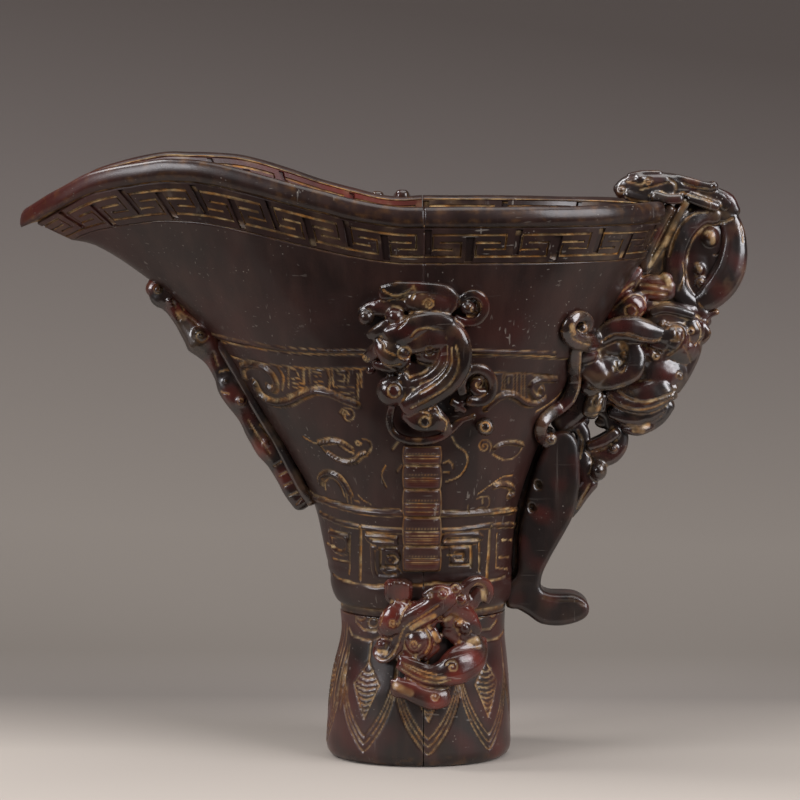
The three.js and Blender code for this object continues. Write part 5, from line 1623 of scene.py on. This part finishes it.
# Dragon on the ridge under the spout: (x, y, 0, girth)
FRONT_DRAGON = [
    [(154, 287, 0, 10), (161, 292, 0, 15), (169, 297, 0, 15), (176, 306, 0, 12), (183, 317, 0, 11),
     (192, 328, 0, 14), (202, 338, 0, 19), (210, 349, 0, 15), (217, 361, 0, 11), (224, 374, 0, 11),
     (231, 387, 0, 14), (240, 400, 0, 14), (248, 415, 0, 11), (258, 431, 0, 13), (268, 446, 0, 14),
     (279, 462, 0, 12), (287, 477, 0, 11), (294, 490, 0, 11), (302, 501, 0, 11)],
    [(153, 282, 0, 6), (163, 285, 0, 7), (174, 294, 0, 7)], blob(170, 301, 3, 5, 5, 2.4),
    blob(158, 289, 3.4, 5.5, 5, 2.4), blob(199, 334, 4.4, 7, 7, 2.4), blob(241, 401, 3.4, 5.5, 5.5, 2.2),
    blob(226, 381, 2.4, 4, 4, 2), blob(266, 443, 3, 5, 6, 2),
]
FRONT_DRAGON_LINES = [
    [(155, 281), (168, 287), (177, 298), (184, 310)], ring((158, 289), 4.6),
    [(180, 314), (190, 318), (198, 326)], spiral((201, 336), 7, 1.4, 0, 1), [(213, 352), (218, 366)],
    [(219, 372), (228, 370), (236, 374)], [(221, 392), (229, 394)], spiral((241, 401), 5.6, 1.3, 0, 1),
    [(248, 420), (258, 436), (270, 454)], [(260, 424), (270, 438)], [(274, 466), (284, 460)],
    [(279, 476), (290, 470)], [(284, 486), (295, 481)], [(289, 496), (300, 491)],
    [(296, 505), (303, 498), (310, 501)], [(172, 300), (176, 308)], [(176, 313), (180, 320)],
    ([(178, 312), (184, 318)], 2, 0.05),
]
FLANGE_PATH = [
    (210, 337, 0, 4), (217, 340, 0, 6), (230, 358, 0, 7), (255, 403, 0, 7), (281, 447, 0, 7),
    (303, 488, 0, 7), (311, 501, 0, 6),
]

# Handle limbs: (x, y, side in mm from the middle plane, girth)
LOOP = [
    [(713, 221, 0, 7), (723.4, 215.4, 0, 9), (730.6, 223.6, 0, 11), (733.6, 237, 0, 12.5),
     (733.4, 251, 0, 14.5), (730, 267, 0, 16.5), (721.6, 283, 0, 17), (709.6, 296, 0, 15),
     (699, 303, 0, 11)], [(716, 196, 0, 9), (726, 202, 0, 10), (732, 212, 0, 9)],
]
LOOP_LINES = [
    [(741, 226), (743.5, 242)], [(699, 303), (706, 311), (718, 309)],
    ([(713, 224), (724, 222), (733, 218)], 0.9, 0.5),
]
INNER_LIMB = [
    [(716, 216, 0.6, 8), (704, 216, 0.8, 9), (693, 221, 1, 11), (683, 230.6, 1, 12.5),
     (676.4, 245, 1, 12.5), (673.6, 262, 1, 12), (675, 280, 1, 11), (681, 294, 0.8, 10), (692, 304, 0.4, 9),
     (702, 307, 0, 8)], blob(709.5, 237, 0, 9.5, 11, 3.8),
    [(712, 252, 0, 4), (720, 250, 0, 4.4), (727, 242, 0, 4.4), (728, 232, 0, 4)],
    blob(699, 269, 0, 6.5, 7.5, 3), blob(700, 282, 0, 6.5, 7, 3),
    [(685, 264, 0, 4.5), (690, 272, 0, 4.5), (699, 276, 0, 5)], [(690, 284, 0, 5), (697, 292, 0, 7)],
    [(648, 300, 0, 7), (664, 300, 0, 8), (680, 301, 0, 8), (692, 302, 0, 8)],
    blob(705, 240, 0, 24, 23, 1.5), blob(700, 272, 0, 20, 28, 1.5), blob(715, 264, 0, 14, 22, 1.5),
    blob(696, 209, 0, 14, 8, 1.5),
]
INNER_LIMB_LINES = [
    [(708, 212), (694, 214), (683, 222), (674, 238), (669, 256)],
    ([(706, 232), (712, 235), (713, 243)], 2.2, 0.1), [(714, 255), (723, 252), (730, 242)],
    ring((701, 283), 3.6), ([(697, 264), (700, 270)], 1.6, 0.1), [(683, 262), (684, 276), (679, 290)],
    ([(686, 202), (675, 222), (664, 244)], 2.4, 0.1), ([(666, 240), (656, 256), (649.5, 266)], 1.5, 0.1),
]
SPINE = [
    [(670, 208, 2.6, 5), (659.5, 224, 2.6, 5.6), (652, 239, 2.6, 5.6), (645.5, 254.5, 2.6, 5.6),
     (643.5, 271, 2.6, 5.6)],
    [(686, 202, 3, 4.6), (675, 222, 3, 4), (664, 244, 3, 3.2), (656, 256, 2.8, 2.8),
     (649.5, 268, 2.6, 2.4)],
    [(682, 210, 0.4, 9), (670, 232, 0.4, 10), (660, 252, 0.4, 10), (654, 272, 0.4, 9)],
]
BROW = [
    [(591, 334, 3, 3), (592.6, 323, 3, 5), (598, 310, 3, 8.6), (608, 298, 3, 10), (620.6, 287, 3, 10),
     (632.6, 277, 3, 8), (639, 270, 3, 5)], blob(630, 307, 3.4, 15, 11, 3),
    [(612, 318, 3.2, 9), (622, 313, 3.6, 13), (634, 304, 3.6, 15), (641, 297, 3, 8)],
    [(640, 281.4, 3.4, 3.6), (655, 282, 3.8, 3.6), (669, 285.4, 3.2, 3.6)],
    [(641, 288.4, 3.6, 3.6), (655, 289.4, 4, 3.6), (668, 290.6, 3.4, 3.6)],
    [(643, 295.4, 3.4, 3.6), (656, 297, 3.8, 3.6), (667, 297, 3.2, 3.6)], blob(666, 279, 2.4, 8, 8, 3),
    [(642, 288, 1.6, 12), (656, 288, 1.6, 14), (668, 289, 1.6, 12)],
    [(604, 322, 2.6, 6), (600, 330, 2.6, 6)],
    [(648, 272, 0.5, 7), (640, 284, 0.5, 9), (628, 296, 0.5, 9), (616, 308, 0.5, 9), (604, 322, 0.5, 8)],
]
BROW_LINES = [
    ring((631.4, 311), 6), [(597, 316), (606, 304), (620, 293), (634, 283)],
    [(602, 325), (618, 322), (634, 320), (644, 312)],
    [(613, 310), (624, 300), (634, 294), (643, 297), (646, 306)],
    ([(641, 284.8), (655, 285.6), (668, 288)], 0.8, 0.5), ([(642, 292), (655, 293), (667, 294)], 0.8, 0.5),
    ([(660, 274), (668, 280), (670, 288)], 2.2, 0.1),
]
HEAD = [
    blob(657, 372, 0, 33, 28, 8.6), blob(673, 346, 0, 30, 24, 7.8),
    [(604, 345, 0, 16), (625, 352, 0, 22), (645, 362, 0, 26), (655, 374, 0, 24)],
    [(606, 390, 2, 10), (618, 393, 3.6, 13), (632, 397, 4.6, 15), (647, 396, 5, 17), (662, 389, 4.6, 16)],
    [(608, 393, 6, 4.6), (620, 401, 7.2, 5.6), (637, 406, 7.6, 6), (655, 403.5, 7.2, 5.6),
     (674, 395, 5.4, 4.6)],
    [(616, 388, 6.2, 4), (627, 395, 7.4, 5), (641, 398.5, 7.8, 5.2), (656, 396.5, 7.4, 5),
     (675, 388, 5.8, 4)],
    [(606, 404, 0, 9), (622, 414, 0, 13), (641, 420, 0, 14), (656, 413, 0, 13), (666, 404, 0, 10)],
    [(612, 412, 2.4, 7), (628, 416, 3.4, 9), (646, 414, 3.4, 9), (660, 408, 3, 7)],
    [(626, 427, 2, 6), (637, 429.4, 3, 7), (650, 425.6, 2, 6)], blob(668, 319, 4, 24, 17, 3.4),
    blob(690, 330, 4, 14, 15, 3.2), [(645, 330, 3, 14), (660, 336, 3.4, 15), (676, 338, 3.4, 15)],
    [(652, 312, 6.4, 4), (664, 309, 7, 4), (678, 311, 7, 4.4), (692, 315, 6.4, 4.4)],
    blob(663, 325, 6.6, 6, 5, 2), blob(691, 331, 6, 4.6, 4.6, 1.8),
    [(668, 329, 7.4, 5), (681, 330, 7, 5.4), (682, 342, 6.6, 6), (673, 350, 6.6, 5.4),
     (664, 356, 6.4, 4.4)], [(664, 336, 7, 8), (675, 336, 7.2, 9), (672, 344, 7, 8)],
    [(652, 343, 6.4, 5), (664, 346, 7, 6)], [(650, 352, 6, 4.4), (656, 358, 6.6, 5), (664, 357, 6.4, 4)],
    [(694, 322, 3, 4.4), (701, 326, 3.4, 5), (706, 333, 3, 5.4), (701, 340, 2.6, 5.4)],
    blob(699, 333, 4, 3.6, 4.4, 1.8), blob(692, 341, 4.4, 3.6, 3.4, 1.6), blob(704, 325, 2.6, 4, 4, 2),
    [(700, 322, 2, 4), (708, 316, 1.6, 3.4), (717, 312, 1.2, 3)],
    [(690, 300, 0, 9), (700, 311, 0, 9), (704, 322, 0, 8)],
    [(640, 305, -2, 9), (665, 308, -2, 9), (690, 312, -1, 9)],
    [(694, 350, 2, 8), (688, 364, 2, 8), (682, 377, 2, 7), (675, 389, 2, 6)], blob(680, 376, 5, 4, 5, 1.8),
    blob(673, 388, 4.6, 3.4, 3.4, 1.6),
]
HEAD_LINES = [
    [(666, 321), (663, 326), (667, 329), (671, 325)], ring((691, 331), 3.4),
    ([(609, 396.6), (620.4, 405.8), (637.6, 409.8), (654.8, 407), (674, 397.8)], 0.8, 0.5),
    ([(618, 390.7), (627.2, 397.6), (641, 401.6), (654.8, 399.9), (673, 393)], 0.8, 0.5),
    ring((656, 356), 3), ring((680, 375.5), 3.2),
    [(667, 327), (681, 327), (684, 337), (679, 347), (668, 355)], [(676, 328), (676, 340)],
    [(671, 341), (680, 341)], [(695, 345), (702, 336)], [(684, 346), (689, 355), (691, 362)],
    [(697, 322), (701, 330), (700, 339)], ([(629, 425), (640, 428), (648, 425)], 1.8, 0.1),
    [(668, 402), (672, 396), (675, 390)], [(650, 348), (658, 351), (668, 350)],
    ([(634, 431), (643, 432)], 1.4, 0.1), ([(655, 303), (668, 302)], 1.6, 0.1),
]
WING = [
    [(588, 329, 7, 4), (589.5, 322.4, 7.4, 5), (584.5, 317, 7.6, 5.4), (577, 316.6, 7.8, 6),
     (570, 322.6, 8, 7), (568.5, 332, 8, 8.6), (575, 340, 8.2, 9.6), (588, 342, 8.4, 9.6),
     (601.5, 336.4, 8.4, 10), (615, 329.4, 8.4, 12), (630, 328.6, 8.2, 14), (643, 331.4, 7.8, 13),
     (655, 334, 7.2, 10), (664, 335, 6.6, 7)], blob(582.6, 328, 6.4, 6, 6.4, 2),
    [(594, 350, 6, 9), (604, 350, 6, 9)], blob(606, 371, 6.4, 27, 19, 3.6),
    [(586, 353, 6.2, 12), (590, 366, 6.6, 15), (600, 377, 7, 14)],
    [(622, 347, 7, 6), (631.5, 347, 7.8, 8), (636, 357, 8.4, 10), (633, 369, 8.6, 11.5),
     (622.5, 377, 8.4, 11), (608, 380.5, 7.8, 10), (595, 381, 7.2, 10), (588, 389, 6.4, 9)],
    blob(624, 355, 7.4, 5, 5.6, 2), [(600, 342, 6, 9), (612, 346, 6, 11), (622, 349, 6, 9)],
    [(588, 386, 5.4, 10), (595, 395, 6, 8), (593, 403, 6.2, 9.5), (590, 412, 5.6, 9)],
    [(603, 396, 5.4, 5), (601, 409, 5.2, 5)],
]
WING_LINES = [
    [(601, 342), (611, 335.6), (621, 333.8), (631, 335), (643, 339), (653, 341), (663, 339)],
    ring((624, 354.6), 3.4), [(616, 362), (617, 368), (621, 372), (625, 369), (626, 363)],
    [(613.6, 366), (615, 371)], ring((582.6, 328), 4.4), [(571, 332), (573, 338), (581, 342.6), (590, 345)],
    [(596, 396), (592, 402), (595, 408)], [(602, 398), (598, 406)], ([(591, 410), (600, 408)], 2.4, 0.1),
    [(586, 414), (592, 416), (598, 414)], ([(622, 343), (625, 349)], 2.6, 0.1),
    [(589, 387), (599, 390), (612, 389), (624, 385)], ([(572, 326), (574, 334)], 1.8, 0.1),
]
SIDE_LIMB = [
    [(578, 344, 9, 6), (575, 356, 9, 7), (574, 370, 9, 7.4), (573.5, 384, 9, 7.6), (569, 398, 9, 7.6),
     (560, 407, 9, 7.2), (549, 415, 9, 7), (541, 425, 9, 7), (541, 436, 9, 6.6), (547, 443, 9, 6)],
    blob(551, 439, 9.4, 6.5, 7, 2.2),
]
SIDE_LIMB_LINES = [
    [(581, 352), (580, 370), (579.5, 386), (574, 402)], [(553, 425), (560, 421), (567, 417)],
    ring((551, 440), 4.4),
]
KNOT = [
    [(566, 430, 0, 6), (574, 424, 0, 8), (582, 432, 0, 8), (583, 446, 0, 8), (583, 462, 0, 9),
     (588, 478, 0, 9), (584, 490, 0, 7)],
    [(617, 425, 0, 8), (621, 437, 0, 8), (617, 449, 0, 9), (608, 457, 0, 9), (596, 455, 0, 8),
     (590, 446, 0, 6)], [(590, 446, 2.6, 5), (603, 441, 3.4, 5.6), (615, 433, 3, 5.6)],
    blob(606, 449, 0, 10, 8, 2.6), blob(613.5, 448, 2.6, 4, 4, 1.8), blob(598, 470, 1.2, 9.5, 11, 4.2),
    [(590, 482, 0, 9), (580, 494, 0, 9), (574, 508, 0, 6), (571, 516, 0, 3)],
    [(578, 418, 0, 7), (586, 421, 0, 5)], blob(606, 422, 0, 12, 7, 1.4),
    [(584, 376, 0, 14), (583, 392, 0, 14), (579, 404, 0, 14), (571, 414, 0, 13), (560, 423, 0, 11)],
    [(600, 408, 0, 8), (609, 415, 0, 8), (612, 427, 0, 7)],
]
KNOT_LINES = [
    [(592, 452), (604, 449), (617, 440)], ring((613.5, 448), 3.2), [(586, 452), (592, 460), (589, 474)],
    [(590, 484), (583, 497), (577, 509)], [(578, 430), (583, 442), (580, 458)],
]
RIM_DRAGON = [
    [(618, 190, 0, 6), (624, 187, 0, 9), (634, 185, 0, 12), (648, 186, 0, 14), (662, 186, 0, 14),
     (677, 187, 0, 13), (692, 190, 0, 11), (706, 193, 0, 9), (718, 198, 0, 9), (727, 205, 0, 9)],
    blob(621, 190, 0, 6.5, 9, 3.2), blob(640, 178, 2.4, 6, 4, 1.8),
    [(630, 176, 1.6, 3), (644, 174, 2, 3.5), (660, 174, 2, 3.5)],
    [(676, 178, 2, 4), (690, 182, 2.6, 4.5), (704, 186, 2.8, 4.5), (713, 187, 3, 4.2)],
    blob(714, 186, 3.4, 4.5, 4.5, 1.4), [(655, 196, 4, 5), (668, 199, 5, 5), (680, 199, 5, 5)],
    [(690, 198, 3.4, 5), (704, 203, 3.6, 5), (716, 207, 3, 5)],
    [(628, 195, 2, 6), (645, 198, 2, 6), (664, 199, 2, 5)],
]
RIM_DRAGON_LINES = [
    ring((621.5, 189.5), 3.4), [(627, 181), (640, 184), (652, 180)], [(640, 190), (655, 186), (668, 182)],
    [(683, 183), (696, 188), (708, 189)], [(681, 192), (696, 197), (712, 201)],
    [(660, 191), (670, 194), (682, 193)], [(625, 197), (640, 201), (662, 202)],
    [(668, 178), (676, 185), (674, 194)], ring((648, 181), 3),
]
STRAP_OUTLINE = [
    (549, 432), (566, 429), (577, 441), (579, 462), (579, 484), (572, 514), (557, 542), (544, 566),
    (540, 584), (549, 590.5), (574, 592), (586.5, 600), (588, 610), (579, 618.5), (559, 623), (540, 621),
    (528, 613), (517, 606.5), (506, 604.5), (506, 584), (514, 575), (517.5, 565), (517.5, 548), (519, 525),
    (528, 487), (538, 455),
]
STRAP_LINES = [
    ([(537.6, 484), (538.4, 486)], 2.2, 1.8), ([(531.4, 507), (532.2, 509)], 2.2, 1.8),
    [(543, 598), (560, 601), (575, 601), (585, 605)],
]
STRAP_HALF_DEPTH = 6.8
STRAP_ROUND = 1.6


def strap_skin():
    """The flat lower handle slab, with rounded edges, as points and faces."""
    outline = at_depth(densify(STRAP_OUTLINE + STRAP_OUTLINE[:1], 4)[:-1], 0)[:, [0, 2]]
    ahead = np.roll(outline, -1, axis=0) - np.roll(outline, 1, axis=0)
    ahead /= np.maximum(np.linalg.norm(ahead, axis=1, keepdims=True), 1e-9)
    inward = np.stack([-ahead[:, 1], ahead[:, 0]], axis=-1)
    x, z = outline.T
    inward *= np.sign(np.sum(x * np.roll(z, -1) - np.roll(x, -1) * z))
    rings = []
    bends = np.linspace(0, math.pi / 2, 5)
    for side in (-1, 1):
        for bend in (bends[::-1] if side < 0 else bends):
            flat = outline + inward * STRAP_ROUND * (1 - math.cos(bend))
            y = side * (STRAP_HALF_DEPTH - STRAP_ROUND * (1 - math.sin(bend)))
            rings.append(np.stack([flat[:, 0], np.full(len(flat), y), flat[:, 1]], axis=-1))
    return np.vstack(rings), ring_faces(len(rings), len(outline))


# Web between the strap and the bowl
STRAP_WEB = [
    [(548, 432, 0, 5), (540, 446, 0, 6), (533.5, 460, 0, 7), (528.5, 474, 0, 7), (522.5, 490, 0, 8),
     (519, 506, 0, 8), (516.5, 524, 0, 8), (514.5, 545, 0, 8), (513.5, 565, 0, 8), (512.5, 585, 0, 7)],
]

# Ladder of cushions on the flank: edges of its units in photo pixels, from the top down
LADDER_EDGES = (446, 465, 489, 517, 546, 571)
LADDER_HALF_WIDTH = 6.1
LADDER_BOW = 0.5
LADDER_STAND = 2.5
LADDER_SINK = 1.6
HATCH_BARS = 6


def ladder(name, far):
    levels = on_flank([(LADDER_X, y) for y in LADDER_EDGES])[:, 2]
    rows = np.arange(levels[-1], levels[0], 0.3)
    across = np.linspace(-1, 1, 45)
    shares, bows = np.zeros(len(rows)), np.zeros(len(rows))
    for high, low in zip(levels[:-1], levels[1:]):
        inside = (rows >= low) & (rows < high)
        share = (rows[inside] - low) / (high - low)
        bows[inside] = np.sin(math.pi * share) ** 0.5
        shares[inside] = share
    u, share = np.meshgrid(across, shares)
    bow = np.repeat(bows[:, None], len(across), axis=1)
    edge = np.minimum(smooth_step(0.0, 0.08, share), smooth_step(1.0, 0.93, share))
    middle = 1 - 0.5 * np.exp(-((share - 0.52) / 0.035) ** 2)
    sides = (1 - np.abs(u) ** 5) ** 0.5
    hatch_zone = smooth_step(0.5, 0.46, share) * smooth_step(0.06, 0.1, share)
    hatch_zone = hatch_zone * smooth_step(0.9, 0.8, np.abs(u))
    phase = np.abs(np.mod(share * 2 * HATCH_BARS, 1) - 0.5) * 2
    hatch = (1 - smooth_step(0.1, 0.5, phase)) * hatch_zone
    dots = np.exp(-((share - 0.62) / 0.03) ** 2) * (0.5 + 0.5 * np.cos(u * 40)) * (np.abs(u) < 0.8)
    height = LADDER_STAND * (0.55 + 0.45 * edge * middle) * sides - 0.28 * hatch - 0.2 * dots
    half = LADDER_HALF_WIDTH - LADDER_BOW * (1 - bow)
    x = u * half + on_flank([(LADDER_X, 500)])[0, 0]
    z = np.repeat(rows[:, None], len(across), axis=1)
    depth = flank_depth(x, z)
    front = np.stack([x, -depth - height, z], axis=-1)
    back = np.stack([x, -depth + LADDER_SINK, z], axis=-1)[:, ::-1]
    loops = np.concatenate([front, back], axis=1)
    points = loops.reshape(-1, 3) * (MIRROR if far else (1, 1, 1))
    thing = outward(mesh_object(name, points, ring_faces(*loops.shape[:2])))
    away = np.abs(u)
    groove = hatch * 0.2 + dots * 0.5 + (1 - edge) * 0.6 * (away < 0.95) + 0.5 * (away > 0.93) * (away < 0.98)
    red = 0.3 + hatch_zone * 0.4
    hidden = np.zeros(back.shape[:2])
    masks = [np.concatenate([mask, hidden], axis=1).ravel() for mask in (groove, red)]
    attribute_set(thing, *masks)
    return thing


# Forepart of the far dragon, which climbs over the rim: (x, y, z, girth) in millimetres
CLIMBER = [
    [(-2.4, 44, 148, 4.2), (-3.8, 47.5, 157, 4.4), (-5.3, 50.3, 165.2, 4.2), (-6.5, 48.9, 171.4, 3.2),
     (-6.5, 44.8, 173.4, 2.3)],
    [(-7.2, 49.9, 161, 2.8), (-12, 50.3, 167, 2.8), (-14.4, 48.5, 171.4, 2.6), (-14.4, 44.8, 173.1, 2.1)],
    [(-2.4, 49.9, 161, 2.8), (2, 50.3, 165.8, 2.8), (3.4, 49.4, 169, 2.6), (3.4, 47.5, 168.4, 2.3)],
]


def climber_parts():
    parts = []
    for limb in CLIMBER:
        limb = densify(np.array(limb, float), LIMB_STEP) * [1, -1, 1, 1]
        outs = np.tile([0.0, -0.7, 0.7], (len(limb), 1))
        parts.append(swept_skin(limb[:, :3], outs, limb[:, 3], 0.85))
    return parts


def dressed_figure(node, finish, slot, *drawing, **ways):
    """A carving in its finish, in the place of the node that it is named for."""
    dress(carved_figure(f"carved_{node}", *drawing, **ways), finish, slot, node)


def make_dragons():
    flank = (FLANK_DRAGON, seat_on_flank, FLANK_DRAGON_LINES, 0.1)
    foot = (FOOT_DRAGON, seat_on_flank, FOOT_DRAGON_LINES, 0.25)
    for side in ("near", "far"):
        far = side == "far"
        extra = climber_parts() if far else ()
        dressed_figure(f"{side}_flank_dragon", "flank_carving", "red_horn", *flank, far=far, extra=extra)
        dressed_figure(f"{side}_foot_dragon", "foot_carving", "red_horn", *foot, far=far)
        dress(ladder(f"carved_{side}_ladder", far), "bowl_horn", "red_horn", f"{side}_ladder_flange")
    dragon = (FRONT_DRAGON, seat_in_plane, FRONT_DRAGON_LINES, 0.12)
    dressed_figure("front_dragon", "spur_horn", "red_horn", *dragon, depth_share=1.0, both=True)
    flange = ([FLANGE_PATH], seat_in_plane, (), 0.1)
    dressed_figure("front_flange", "dark_carving", "dark_horn", *flange, depth_share=2.0, both=True)


# The handle's middle pieces as (node, finish, slot, limbs, lines, depth share, redness)
HANDLE_PIECES = [
    ("handle_loop", "black_carving", "red_horn", LOOP, LOOP_LINES, 0.85, 0.25),
    ("handle_inner_limb", "black_carving", "dark_horn", INNER_LIMB + SPINE, INNER_LIMB_LINES, 0.9, 0.1),
    ("beast_brow_limb", "brow_carving", "red_horn", BROW, BROW_LINES, 0.9, 0.5),
    ("beast_head", "dark_carving", "dark_horn", HEAD, HEAD_LINES, 0.9, 0.2),
    ("handle_knot", "black_carving", "dark_horn", KNOT, KNOT_LINES, 1.0, 0.1),
    ("rim_dragon", "black_carving", "dark_horn", RIM_DRAGON, RIM_DRAGON_LINES, 1.0, 0.0),
]
STRAP_VOXEL = 0.5


def make_handle():
    for node, finish, slot, limbs, lines, share, thin_red_and_painted_sheen in HANDLE_PIECES:
        dressed_figure(node, finish, slot, limbs, seat_in_plane, lines, thin_red_and_painted_sheen, depth_share=share, both=True,
                       flips=True)
    wing = (WING, seat_beside, WING_LINES, 0.15)
    limb = (SIDE_LIMB, seat_beside, SIDE_LIMB_LINES, 0.1)
    for side in ("near", "far"):
        far = side == "far"
        dressed_figure(f"{side}_beast_wing", "dark_carving", "dark_horn", *wing, far=far)
        dressed_figure(f"{side}_side_limb", "black_carving", "dark_horn", *limb, far=far)
    strap = (STRAP_WEB, seat_in_plane, STRAP_LINES, 0.0)
    dressed_figure("handle_strap", "strap_horn", "dark_horn", *strap, both=True, extra=[strap_skin()],
                   voxel=STRAP_VOXEL)


make_room()
for half, front in (("front", True), ("rear", False)):
    dress(bowl_half(f"carved_bowl_{half}", front), "bowl_horn", "stained_horn", f"bowl_{half}_half")
    dress(foot_half(f"carved_foot_{half}", front), "foot_horn", "stained_horn", f"foot_{half}_half")

fret_tree, fret_unit = key_fret_tree(), key_unit()
for half, front in (("front", True), ("rear", False)):
    for where, inside in (("outer", False), ("inner", True)):
        finish = "inner_fret" if inside and front else "fret_horn"
        band = fret_band(f"{where}_key_fret_{half}", fret_tree, fret_unit, front, inside, horn_paint[finish])
        dress(band, finish, "stained_horn")
bpy.data.objects.remove(fret_unit)

for node in ("cup_floor", "foot_base_plate"):
    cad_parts[node].data.materials.clear()
    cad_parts[node].data.materials.append(horn_paint["floor_horn"])
make_dragons()
make_handle()
